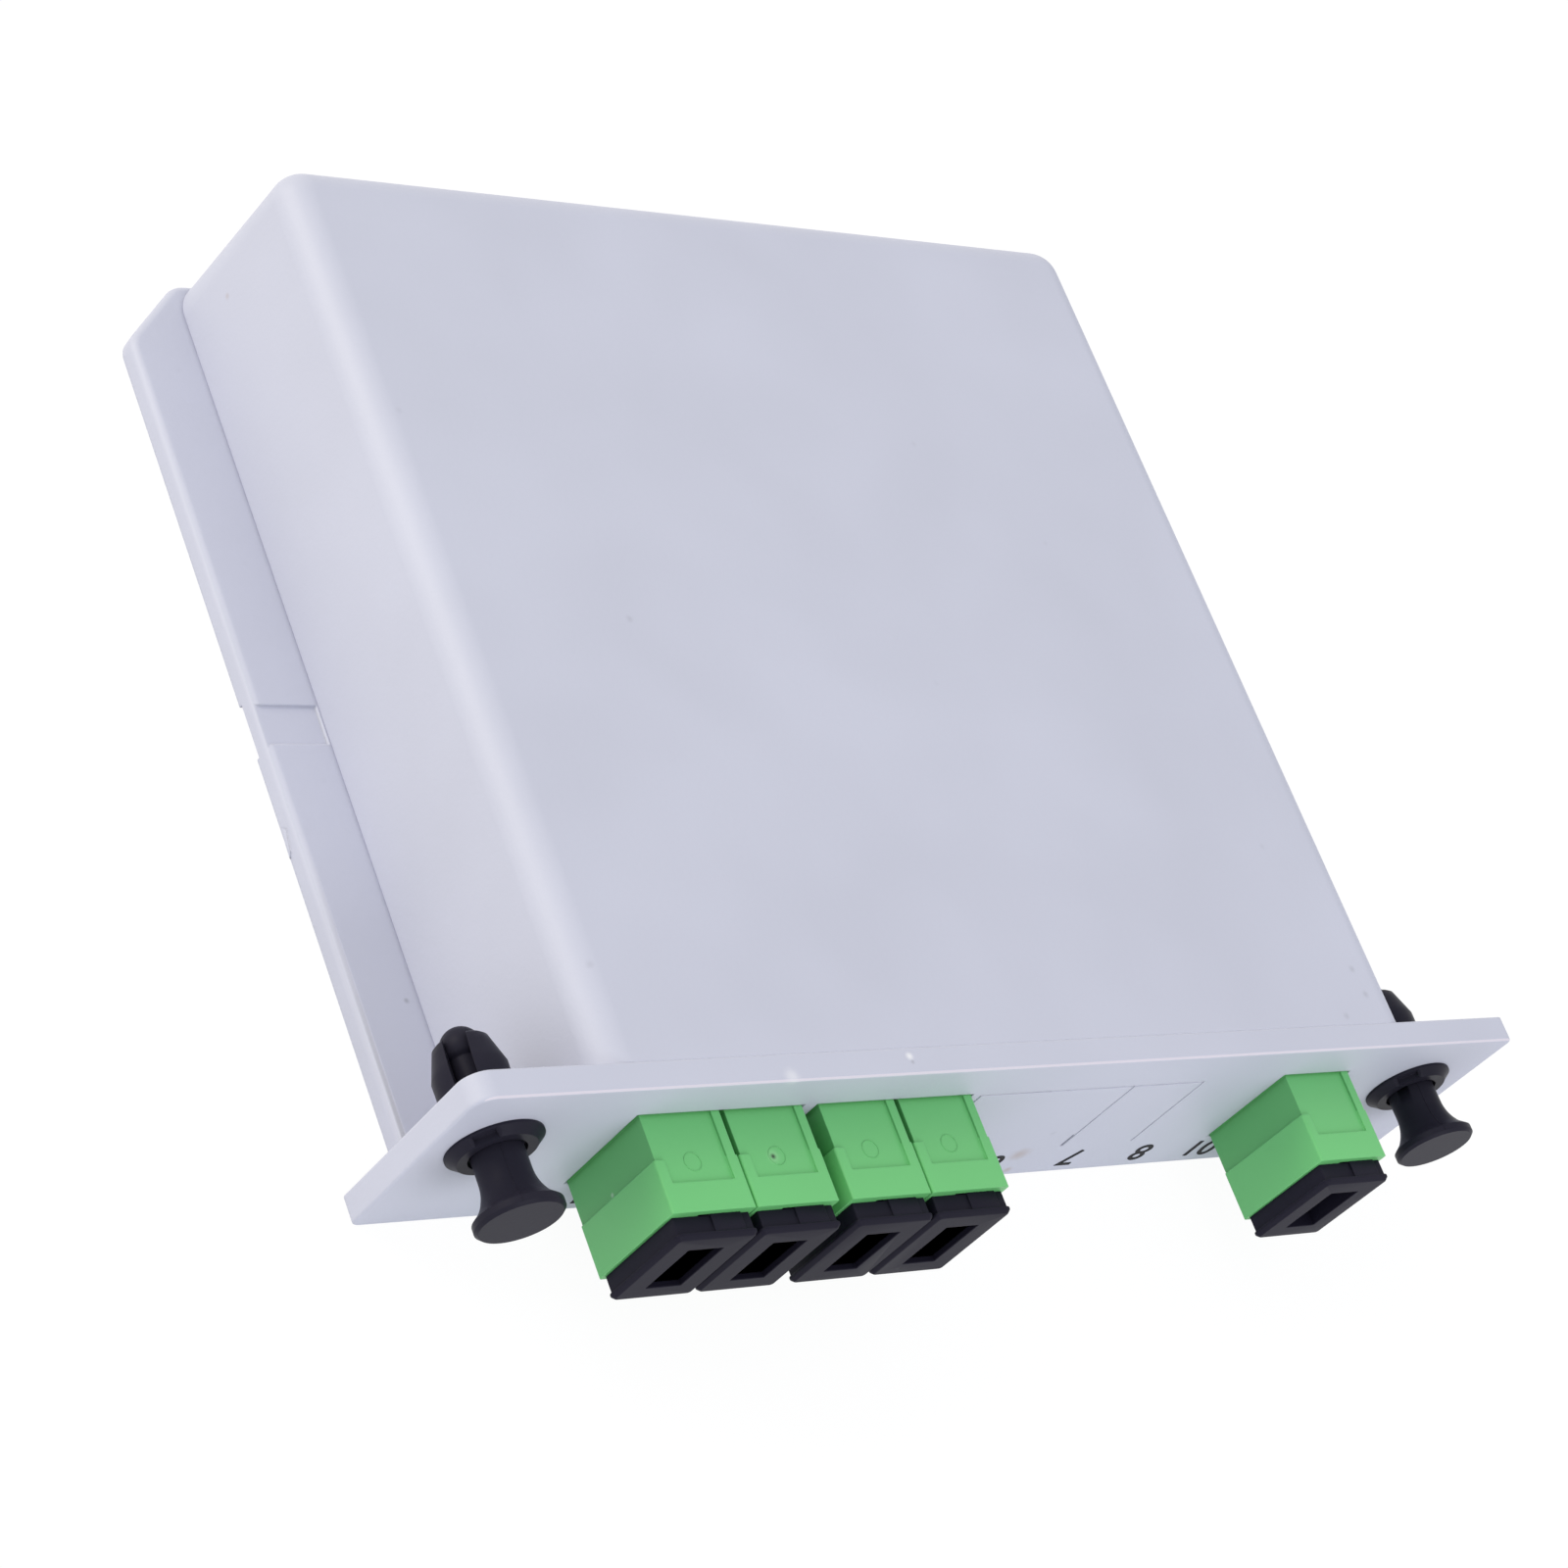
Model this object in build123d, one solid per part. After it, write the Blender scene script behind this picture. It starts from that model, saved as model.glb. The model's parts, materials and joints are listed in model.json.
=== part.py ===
from build123d import *
import os

# Optical splitter cassette, in millimetres.
# X runs across the front panel, Y runs from the panel into the cassette and Z is up.
# Y = 0 is the panel's back face, Z = 0 is the flat underside, X = 0 is the middle.

# Front panel
PANEL_WIDTH = 130.0
PANEL_HEIGHT = 23.2
PANEL_THICKNESS = 2.7
PANEL_KEY_RADIUS = 2.2
PANEL_CORNER_RADIUS = 0.8
PANEL_EDGE_ROUND = 0.3
SCORE_WIDTH = 0.22
SCORE_DEPTH = 0.14
SCORE_RISE = 6.1
SCORE_DROP = 6.2
SCORE_GAP = 1.15
SCORE_PAIR_WIDTH = 20.1
SCORE_SINGLE_WIDTH = 9.4
DEEP_SCORE_DEPTH = 0.35
DEEP_SCORE_LENGTH = 2.4

# Floor of the tray, whose sides stand out as rails
EAR_REACH = 6.5
FLOOR_DEPTH = 100.0
FLOOR_THICKNESS = 2.2
RAIL_CHAMFER = 7.2
RAIL_CORNER_ROUND = 3.0
RAIL_EDGE_ROUND = 0.8
DETENT_START = 46.0
DETENT_LENGTH = 4.1
DETENT_DEPTH = 0.25
DETENT_FLARE = 1.0
DETENT_NOTCH_START = 45.5
DETENT_NOTCH_LENGTH = 5.8
DETENT_NOTCH_DEPTH = 0.4
GATE_START = 34.7
GATE_LENGTH = 3.2
GATE_HEIGHT = 1.0
GATE_DEPTH = 0.3
GATE_REACH = 0.15

# Cover
RAIL_REACH = 6.9
COVER_WALL = 1.6
COVER_DRAFT = 2.5
COVER_CORNER_RADIUS = 4.3
COVER_CROWN_RADIUS = 3.2
COVER_FOOT_CHAMFER = 0.25
RIM_HEIGHT = 2.0
RIM_THICKNESS = 1.0
RIM_CLEARANCE = 0.15

# Locating bosses of the tray and the sockets of the cover
BOSS_INSET = 5.1
BOSS_FRONT_Y = 31.0
BOSS_BACK_INSET = 5.7
BOSS_RADIUS = 2.2
BOSS_HEIGHT = 3.8
PEG_RADIUS = 1.2
PEG_HEIGHT = 4.0
PEG_CLEARANCE = 0.05

# Adapters, which take a plug from each end
ADAPTER_WIDTH = 9.3
ADAPTER_HEIGHT = 12.7
ADAPTER_LENGTH = 28.6
ADAPTER_REACH = 9.6
ADAPTER_WINDOW_CLEARANCE = 0.1
ADAPTER_SIDE_RELIEF = 0.28
ADAPTER_BLOCK_LENGTH = 5.2
ADAPTER_PANEL_RELIEF = 0.25
ADAPTER_BAND_LENGTH = 2.9
ADAPTER_LUG_WIDTH = 1.15
ADAPTER_STRIP_WIDTH = 1.25
ADAPTER_LEDGE_HEIGHT = 0.8
ADAPTER_LEDGE_LENGTH = 2.0
ADAPTER_EDGE_ROUND = 0.25
PAIR_PITCH = 20.4
IN_PAIR_PITCH = 9.5
OUTPUT_INSET = 15.8
INPUT_INSET = 11.4

# Port cavity of an adapter and the wall at its middle
PORT_WIDTH = 7.6
PORT_HEIGHT = 9.4
PORT_KEY_WIDTH = 2.8
PORT_KEY_DEPTH = 0.9
MIDWALL_THICKNESS = 2.0

# Sleeve holder and split sleeve
SLEEVE_RADIUS = 1.6
SLEEVE_WALL = 0.33
SLEEVE_LENGTH = 11.4
SLEEVE_SLIT = 0.5
HOLDER_WALL = 0.7
HOLDER_OVERHANG = 0.5
HOLDER_CLEARANCE = 0.05
HOLDER_PLATE_THICKNESS = 1.2
HOOK_LENGTH = 4.6
HOOK_HEIGHT = 3.0
HOOK_THICKNESS = 0.6
HOOK_NUB = 0.25

# Dust plugs
PLUG_FLANGE_WIDTH = 9.1
PLUG_FLANGE_HEIGHT = 12.0
PLUG_FLANGE_THICKNESS = 0.6
PLUG_BODY_WIDTH = 8.5
PLUG_BODY_HEIGHT = 11.3
PLUG_BODY_LENGTH = 1.7
PLUG_STEM_LENGTH = 7.2
PLUG_STEM_CLEARANCE = 0.15
PLUG_POCKET_WIDTH = 3.9
PLUG_POCKET_HEIGHT = 7.3
PLUG_POCKET_FLOOR = 1.4
PLUG_CUP_RADIUS = 1.5
PLUG_CUP_BORE = 0.9
PLUG_CUP_HEIGHT = 4.0
PLUG_KEY_WIDTH = 3.4
PLUG_KEY_HEIGHT = 0.25
PLUG_KEY_OFFSET = 1.5
PLUG_FLANGE_DROP = 0.2
PLUG_POCKET_DROP = 0.3
PLUG_EDGE_ROUND = 0.35

# Pull plungers that hold the panel to a frame
LATCH_INSET = 7.4
LATCH_SHIFT = -0.6
LATCH_DROP = 8.8
LATCH_HOLE_RADIUS = 3.1
LATCH_HOLE_CLEARANCE = 0.05
COLLAR_RADIUS = 4.6
COLLAR_RIM_RADIUS = 4.0
COLLAR_THICKNESS = 1.0
COLLAR_EDGE = 0.25
COLLAR_BASE_THICKNESS = 0.35
COLLAR_NOTCH_RADIUS = 3.6
COLLAR_RECESS_RADIUS = 2.75
COLLAR_RECESS_DEPTH = 0.5
LEG_ROOT_RADIUS = 3.45
LEG_WAIST_RADIUS = 3.5
LEG_ROOT_GAP = 0.3
LEG_FLARE_LENGTH = 4.2
LEG_SHOULDER_RADIUS = 2.6
LEG_SHOULDER_LENGTH = 7.0
LEG_LENGTH = 7.3
LEG_TIP_RADIUS = 2.25
LEG_SLOT_WIDTH = 2.2
LEG_SLOT_ANGLE = 45.0
PIN_RADIUS = 1.5
PIN_CLEARANCE = 0.05
PIN_HEAD_RADIUS = 1.95
PIN_HEAD_LENGTH = 1.2
PIN_HEAD_CLEARANCE = 0.15
PIN_TIP_LENGTH = 8.7
LATCH_TRAVEL = 4.0
NECK_RADIUS = 2.45
KNOB_RADIUS = 4.18
KNOB_REACH = 7.55
KNOB_RIM_LENGTH = 0.6
KNOB_CHAMFER = 0.3
KNOB_SLOPE_RADIUS = 3.45
KNOB_SLOPE_LENGTH = 0.65
NECK_FLARE_LENGTH = 2.9

# Inner connectors and their boots
CONNECTOR_CLEARANCE = 0.15
CONNECTOR_FRONT = 4.0
CONNECTOR_NOSE_LENGTH = 11.2
CONNECTOR_GRIP_LENGTH = 7.5
CONNECTOR_GRIP_WIDTH = 8.7
CONNECTOR_GRIP_HEIGHT = 9.2
CONNECTOR_RIBS = 4
CONNECTOR_RIB_DEPTH = 0.3
CONNECTOR_NOSE_BORE = 2.6
CONNECTOR_NOSE_BORE_DEPTH = 3.0
FERRULE_RADIUS = 1.25
FERRULE_LENGTH = 8.0
BOOT_ROOT_RADIUS = 2.4
BOOT_TIP_RADIUS = 1.1
BOOT_LENGTH = 16.0
BOOT_GROOVES = 4
BOOT_GROOVE_DEPTH = 0.35
BOOT_GROOVE_WIDTH = 1.0

# Splitter module and its clips
MODULE_WIDTH = 7.0
MODULE_HEIGHT = 4.0
MODULE_BACK_INSET = 7.5
MODULE_END_GAP = 1.8
MODULE_ROUND = 0.5
CLIP_X = 15.0
CLIP_WIDTH = 3.0
CLIP_THICKNESS = 1.1
CLIP_CLEARANCE = 0.1
CLIP_NUB = 0.4

# Fibre tubes and the spools they run round
FIBRE_RADIUS = 0.45
FIBRE_PITCH = 1.1
LEFT_RUN_INSET = 6.6
RIGHT_RUN_INSET = 9.0
FRONT_RUN_GAP = 7.95
BACK_RUN_INSET = 12.0
INPUT_SIDE_GAP = 3.2
INPUT_FRONT_GAP = 3.15
INPUT_BACK_GAP = 5.0
INPUT_LEFT_GAP = 1.0
LEVEL_STEP = 1.8
MODULE_TOP_GAP = 1.75
LOOP_DEPTH_SPARE = 0.675
LOOP_WIDTH_SPARE = 7.4
FRONT_RISE_LENGTH = 18.0
FRONT_RISE_RADIUS = 30.0
BACK_RISE_GAP = 2.6
BACK_RISE_LENGTH = 10.0
BACK_RISE_RADIUS = 10.0
INPUT_FALL_GAP = 22.2
INPUT_FALL_LENGTH = 16.0
INPUT_FALL_RADIUS = 30.0
INPUT_DROP_LENGTH = 20.0
INPUT_DROP_RADIUS = 25.0
SPOOL_INSET = 5.0
SPOOL_WALL = 1.4
SPOOL_TOP_GAP = 2.2
SPOOL_SLOT_SHARE = 0.36

# Ribs that stop the adapters from sliding back
RIB_CLEARANCE = 0.05
RIB_THICKNESS = 1.7
REAR_RIB_Y = 12.6

# Derived sizes
FLOOR_WIDTH = PANEL_WIDTH - 2 * EAR_REACH
COVER_WIDTH = FLOOR_WIDTH - 2 * RAIL_REACH
COVER_HEIGHT = PANEL_HEIGHT - FLOOR_THICKNESS
COVER_CEILING_Z = PANEL_HEIGHT - COVER_WALL
BOSS_X = COVER_WIDTH / 2 - BOSS_INSET
BOSS_BACK_Y = FLOOR_DEPTH - BOSS_BACK_INSET
LATCH_SPACING = PANEL_WIDTH - 2 * LATCH_INSET
LATCH_Z = PANEL_HEIGHT - LATCH_DROP
FIRST_PAIR_X = OUTPUT_INSET - COVER_WIDTH / 2
INPUT_X = COVER_WIDTH / 2 - INPUT_INSET
PANEL_FRONT_Y = -PANEL_THICKNESS
ADAPTER_AXIS_Z = (FLOOR_THICKNESS + COVER_CEILING_Z) / 2
ADAPTER_FRONT_Y = PANEL_FRONT_Y - ADAPTER_REACH
ADAPTER_BACK_Y = ADAPTER_FRONT_Y + ADAPTER_LENGTH
ADAPTER_MIDDLE_Y = (ADAPTER_FRONT_Y + ADAPTER_BACK_Y) / 2
ADAPTER_BLOCK_Y = ADAPTER_FRONT_Y + ADAPTER_BLOCK_LENGTH
ADAPTER_BOTTOM_Z = ADAPTER_AXIS_Z - ADAPTER_HEIGHT / 2
ADAPTER_TOP_Z = ADAPTER_AXIS_Z + ADAPTER_HEIGHT / 2
HOLDER_BORE = SLEEVE_RADIUS + HOLDER_CLEARANCE
HOLDER_RADIUS = HOLDER_BORE + HOLDER_WALL
HOLDER_LENGTH = SLEEVE_LENGTH + 2 * HOLDER_OVERHANG
HOLDER_HALF_WIDTH = PORT_WIDTH / 2 - HOLDER_CLEARANCE
HOOK_START = MIDWALL_THICKNESS / 2 + HOLDER_PLATE_THICKNESS
HOOK_END = HOOK_START + HOOK_LENGTH
CONNECTOR_FRONT_Y = ADAPTER_MIDDLE_Y + CONNECTOR_FRONT
CONNECTOR_GRIP_Y = CONNECTOR_FRONT_Y + CONNECTOR_NOSE_LENGTH
CONNECTOR_BACK_Y = CONNECTOR_GRIP_Y + CONNECTOR_GRIP_LENGTH
BOOT_END_Y = CONNECTOR_BACK_Y + BOOT_LENGTH
OUTPUT_X = [
    FIRST_PAIR_X + pair * PAIR_PITCH + side * IN_PAIR_PITCH / 2
    for pair in range(2)
    for side in (-1, 1)
]
SCORE_START_X = OUTPUT_X[-1] + ADAPTER_WIDTH / 2 + SCORE_GAP
SCORE_MIDDLE_X = SCORE_START_X + SCORE_PAIR_WIDTH
SCORE_LOW_Z = ADAPTER_AXIS_Z - SCORE_DROP
SCORE_TOP_Z = ADAPTER_AXIS_Z + SCORE_RISE

# Fibre levels, runs and the widest bend that the case leaves room for
LOW_LEVEL_Z = FLOOR_THICKNESS + MODULE_HEIGHT / 2
MIDDLE_LEVEL_Z = FLOOR_THICKNESS + MODULE_HEIGHT + MODULE_TOP_GAP
INPUT_LEVEL_Z = ADAPTER_AXIS_Z - LEVEL_STEP
LEFT_RUN_X = LEFT_RUN_INSET - COVER_WIDTH / 2
RIGHT_RUN_X = COVER_WIDTH / 2 - RIGHT_RUN_INSET
INPUT_RIGHT_X = RIGHT_RUN_X + INPUT_SIDE_GAP
INPUT_LEFT_X = LEFT_RUN_X + INPUT_LEFT_GAP
FRONT_RUN_Y = BOOT_END_Y + FRONT_RUN_GAP
BACK_RUN_Y = FLOOR_DEPTH - BACK_RUN_INSET
INPUT_FRONT_Y = FRONT_RUN_Y - INPUT_FRONT_GAP
INPUT_BACK_Y = BACK_RUN_Y - INPUT_BACK_GAP
DEPTH_ROOM = (BACK_RUN_Y - FRONT_RUN_Y) / 2 - LOOP_DEPTH_SPARE
WIDTH_ROOM = (RIGHT_RUN_X - OUTPUT_X[-1]) / 2 - LOOP_WIDTH_SPARE
LOOP_RADIUS = min(DEPTH_ROOM, WIDTH_ROOM)
LOOP_LEFT_X = LEFT_RUN_X + LOOP_RADIUS
LOOP_RIGHT_X = RIGHT_RUN_X - LOOP_RADIUS
LOOP_MIDDLE_X = (LOOP_LEFT_X + LOOP_RIGHT_X) / 2
SPOOL_Y = (FRONT_RUN_Y + BACK_RUN_Y) / 2
SPOOL_RADIUS = LOOP_RADIUS - SPOOL_INSET
SPOOL_TOP_Z = ADAPTER_AXIS_Z - SPOOL_TOP_GAP
MODULE_Y = FLOOR_DEPTH - MODULE_BACK_INSET
MODULE_LENGTH = 2 * (INPUT_RIGHT_X - LOOP_RADIUS - MODULE_END_GAP)


def block(x0, x1, y0, y1, z0, z1):
    """A box between six planes."""
    return Pos(x0, y0, z0) * Box(
        x1 - x0, y1 - y0, z1 - z0, align=(Align.MIN, Align.MIN, Align.MIN)
    )


def prism_y(width, height, y0, y1, x=0.0, z=0.0):
    """A box centred on an axis along Y."""
    return block(x - width / 2, x + width / 2, y0, y1, z - height / 2, z + height / 2)


def rod_y(radius, y0, y1, x=0.0, z=0.0):
    """A round bar along Y."""
    place = Plane(origin=(x, y0, z), x_dir=(1, 0, 0), z_dir=(0, 1, 0))
    return extrude(place * Circle(radius), y1 - y0)


def post_z(radius, z0, z1, x=0.0, y=0.0):
    """A round post along Z."""
    return Pos(x, y, z0) * extrude(Circle(radius), z1 - z0)


def turned_y(profile):
    """A solid turned about the Y axis from (radius, y) points."""
    face = make_face(Polyline(*profile, close=True))
    return revolve(face, Axis.Y)


def latch_x(side):
    """The place of one plunger across the panel."""
    return LATCH_SHIFT + side * LATCH_SPACING / 2


def tray_floor():
    """The flat floor with chamfered rear corners and rounded rail edges."""
    half = FLOOR_WIDTH / 2
    front = PANEL_FRONT_Y / 2
    outline = make_face(
        Polyline(
            (-half, front),
            (half, front),
            (half, FLOOR_DEPTH - RAIL_CHAMFER),
            (half - RAIL_CHAMFER, FLOOR_DEPTH),
            (RAIL_CHAMFER - half, FLOOR_DEPTH),
            (-half, FLOOR_DEPTH - RAIL_CHAMFER),
            close=True,
        )
    )
    back_corners = outline.vertices().sort_by(Axis.Y)[2:]
    outline = fillet(back_corners, RAIL_CORNER_ROUND)
    floor = extrude(outline, FLOOR_THICKNESS)
    side_edges = (
        floor.faces().sort_by(Axis.Z)[-1].edges().filter_by(lambda e: abs(e.center().X) > BOSS_X)
    )
    return fillet(side_edges, RAIL_EDGE_ROUND)


def rail_cuts(side):
    """The shallow detent over one rail and the notch under its outer edge."""
    outer = FLOOR_WIDTH / 2
    inner = COVER_WIDTH / 2 + RIM_CLEARANCE
    low = DETENT_START
    high = DETENT_START + DETENT_LENGTH
    flare = 2 * DETENT_FLARE
    detent = make_face(
        Polyline(
            (inner, low),
            (outer, low),
            (outer, low - flare),
            (outer + 1, low - flare),
            (outer + 1, high + flare),
            (outer, high + flare),
            (outer, high),
            (inner, high),
            close=True,
        )
    )
    mouth_corners = [v for v in detent.vertices() if v.X == outer and low <= v.Y <= high]
    detent = Pos(0, 0, FLOOR_THICKNESS - DETENT_DEPTH) * fillet(mouth_corners, DETENT_FLARE)
    detent = extrude(detent, 1)
    notch = block(
        outer - DETENT_NOTCH_DEPTH,
        outer + 1,
        DETENT_NOTCH_START,
        DETENT_NOTCH_START + DETENT_NOTCH_LENGTH,
        -1,
        DETENT_NOTCH_DEPTH,
    )
    cuts = detent + notch
    return cuts if side > 0 else mirror(cuts, Plane.YZ)


def gate_mark():
    """The rough stub that the moulding gate left on the left rail's outer side."""
    length = GATE_LENGTH
    height = GATE_HEIGHT
    outline = make_face(
        Polyline(
            (0, 0, height / 8),
            (0, length, height / 4),
            (0, length - length / 6, height),
            (0, length / 2, height - height / 4),
            (0, length / 6, height / 2),
            close=True,
        )
    )
    stub = extrude(outline, GATE_DEPTH + GATE_REACH, dir=(1, 0, 0))
    return Pos(-FLOOR_WIDTH / 2 - GATE_REACH, GATE_START, 0) * stub


def score_frame(x0, x1):
    """A fine line over one unused port and down its two sides."""
    line = SCORE_WIDTH
    depth = PANEL_FRONT_Y + SCORE_DEPTH
    outer = block(x0, x1, PANEL_FRONT_Y - 1, depth, SCORE_LOW_Z, SCORE_TOP_Z)
    top = SCORE_TOP_Z - line
    return outer - block(x0 + line, x1 - line, PANEL_FRONT_Y - 2, depth + 1, 0, top)


def deep_scores():
    """The two stretches where the scored line is cut deeper."""
    line = SCORE_WIDTH
    front = PANEL_FRONT_Y - 1
    depth = PANEL_FRONT_Y + DEEP_SCORE_DEPTH
    top_end = SCORE_START_X + ADAPTER_WIDTH
    side_top = SCORE_LOW_Z + DEEP_SCORE_LENGTH
    top = block(SCORE_START_X, top_end, front, depth, SCORE_TOP_Z - line, SCORE_TOP_Z)
    side = block(SCORE_MIDDLE_X - 2 * line, SCORE_MIDDLE_X, front, depth, SCORE_LOW_Z, side_top)
    return top + side


def front_panel():
    """The panel with its keyed corner, port windows, plunger holes and scored blanks."""
    half = PANEL_WIDTH / 2
    outline = make_face(
        Polyline(
            (-half, 0, 0),
            (half, 0, 0),
            (half, 0, PANEL_HEIGHT),
            (-half, 0, PANEL_HEIGHT),
            close=True,
        )
    )
    panel = extrude(outline, PANEL_THICKNESS, dir=(0, -1, 0))
    corners = panel.edges().filter_by(Axis.Y)
    key_edge = corners.filter_by(lambda e: e.center().X < 0 and e.center().Z > ADAPTER_AXIS_Z)
    panel = fillet(key_edge, PANEL_KEY_RADIUS)
    corners = panel.edges().filter_by(Axis.Y)
    plain_edges = corners.filter_by(lambda e: e.center().X > 0 or e.center().Z < ADAPTER_AXIS_Z)
    plain_corners = plain_edges.filter_by(lambda e: abs(e.center().X) > COVER_WIDTH / 2)
    panel = fillet(plain_corners, PANEL_CORNER_RADIUS)
    panel = fillet(panel.faces().sort_by(Axis.Y)[0].edges(), PANEL_EDGE_ROUND)
    gap = ADAPTER_WINDOW_CLEARANCE
    window_height = ADAPTER_HEIGHT + 2 * gap
    pair_width = ADAPTER_WIDTH + IN_PAIR_PITCH + 2 * gap
    for pair in range(2):
        pair_x = FIRST_PAIR_X + pair * PAIR_PITCH
        panel -= prism_y(pair_width, window_height, PANEL_FRONT_Y - 1, 1, pair_x, ADAPTER_AXIS_Z)
    input_width = ADAPTER_WIDTH + 2 * gap
    panel -= prism_y(input_width, window_height, PANEL_FRONT_Y - 1, 1, INPUT_X, ADAPTER_AXIS_Z)
    for side in (-1, 1):
        panel -= rod_y(LATCH_HOLE_RADIUS, PANEL_FRONT_Y - 1, 1, latch_x(side), LATCH_Z)
    panel -= score_frame(SCORE_START_X, SCORE_MIDDLE_X)
    panel -= score_frame(SCORE_MIDDLE_X - SCORE_WIDTH, SCORE_MIDDLE_X + SCORE_SINGLE_WIDTH)
    return panel - deep_scores()


def rim_outline(inset, z0, height):
    """A rounded block that follows the inside of the cover's walls."""
    half = COVER_WIDTH / 2 - COVER_WALL - inset
    back = FLOOR_DEPTH - COVER_WALL - inset
    front = -back
    corner = COVER_CORNER_RADIUS - COVER_WALL - inset
    sketch = Pos(0, (front + back) / 2, z0) * RectangleRounded(2 * half, back - front, corner)
    return extrude(sketch, height)


def locating_rim():
    """The low wall on the floor that the cover drops over."""
    outer = rim_outline(RIM_CLEARANCE, FLOOR_THICKNESS, RIM_HEIGHT)
    inner = rim_outline(RIM_CLEARANCE + RIM_THICKNESS, FLOOR_THICKNESS - 1, RIM_HEIGHT + 2)
    space = block(-PANEL_WIDTH, PANEL_WIDTH, -PANEL_THICKNESS / 2, FLOOR_DEPTH, 0, PANEL_HEIGHT)
    return (outer - inner) & space


def boss_places():
    """Centres of the four locating bosses."""
    return [(sx * BOSS_X, y) for sx in (-1, 1) for y in (BOSS_FRONT_Y, BOSS_BACK_Y)]


def locating_boss(x, y):
    """A boss on the floor with the peg that the cover's socket slips over."""
    boss_top = FLOOR_THICKNESS + BOSS_HEIGHT
    boss = post_z(BOSS_RADIUS, FLOOR_THICKNESS / 2, boss_top, x, y)
    peg = post_z(PEG_RADIUS, boss_top - 1, boss_top + PEG_HEIGHT, x, y)
    peg = chamfer(peg.faces().sort_by(Axis.Z)[-1].edges(), PEG_RADIUS / 4)
    return boss + peg


def adapter_ribs(z0, z1):
    """Ribs across the cassette that trap the adapters' ledges and carry their rear."""
    ledge_y = ADAPTER_LEDGE_LENGTH + RIB_CLEARANCE
    output_span = (OUTPUT_X[0] - ADAPTER_WIDTH / 2, OUTPUT_X[-1] + ADAPTER_WIDTH / 2)
    input_span = (INPUT_X - ADAPTER_WIDTH / 2, INPUT_X + ADAPTER_WIDTH / 2)
    ribs = []
    for y in (ledge_y, REAR_RIB_Y):
        for x0, x1 in (output_span, input_span):
            ribs.append(block(x0, x1, y, y + RIB_THICKNESS, z0, z1))
    return ribs


def module_clip(x):
    """A pair of fingers that hold the splitter module down."""
    top = FLOOR_THICKNESS + MODULE_HEIGHT
    reach = MODULE_WIDTH / 2 + CLIP_CLEARANCE
    side = make_face(
        Polyline(
            (0, reach, FLOOR_THICKNESS / 2),
            (0, reach + CLIP_THICKNESS, FLOOR_THICKNESS / 2),
            (0, reach + CLIP_THICKNESS, top + CLIP_CLEARANCE),
            (0, reach, top + CLIP_CLEARANCE + 2 * CLIP_NUB),
            (0, reach - CLIP_NUB, top + CLIP_CLEARANCE),
            (0, reach, top + CLIP_CLEARANCE),
            close=True,
        )
    )
    finger = Pos(x - CLIP_WIDTH / 2, 0, 0) * extrude(side, CLIP_WIDTH, dir=(1, 0, 0))
    return Pos(0, MODULE_Y, 0) * (finger + mirror(finger, Plane.XZ))


def fibre_spool(x):
    """A round spool with four gaps, which keeps the fibres' bends wide."""
    spool = post_z(SPOOL_RADIUS, FLOOR_THICKNESS / 2, SPOOL_TOP_Z)
    spool -= post_z(SPOOL_RADIUS - SPOOL_WALL, -1, PANEL_HEIGHT)
    for angle in (45, 135):
        slot = Box(3 * SPOOL_RADIUS, SPOOL_SLOT_SHARE * SPOOL_RADIUS, 2 * PANEL_HEIGHT)
        spool -= Pos(0, 0, FLOOR_THICKNESS + PANEL_HEIGHT) * Rot(0, 0, angle) * slot
    return Pos(x, SPOOL_Y, 0) * spool


def base_tray():
    """Panel, floor, rails, spools, clips and ribs, moulded in one piece."""
    tray = front_panel() + tray_floor()
    for side in (-1, 1):
        tray -= rail_cuts(side)
    tray += gate_mark()
    tray += locating_rim()
    for x, y in boss_places():
        tray += locating_boss(x, y)
    for rib in adapter_ribs(FLOOR_THICKNESS / 2, ADAPTER_BOTTOM_Z - RIB_CLEARANCE):
        tray += rib
    for side in (-1, 1):
        tray += module_clip(side * CLIP_X)
    for x in (LOOP_LEFT_X, LOOP_RIGHT_X):
        tray += fibre_spool(x)
    return tray


def drafted_box(inset, z0, top, crown):
    """A box whose walls lean in by the draft, with rounded corners and crown."""
    half = COVER_WIDTH / 2 - inset
    back = FLOOR_DEPTH - inset
    corner = COVER_CORNER_RADIUS - inset
    sketch = Pos(0, 0, z0) * RectangleRounded(2 * half, 2 * back, corner)
    box = extrude(sketch, top - z0, taper=COVER_DRAFT)
    return fillet(box.faces().sort_by(Axis.Z)[-1].edges(), crown)


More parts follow.
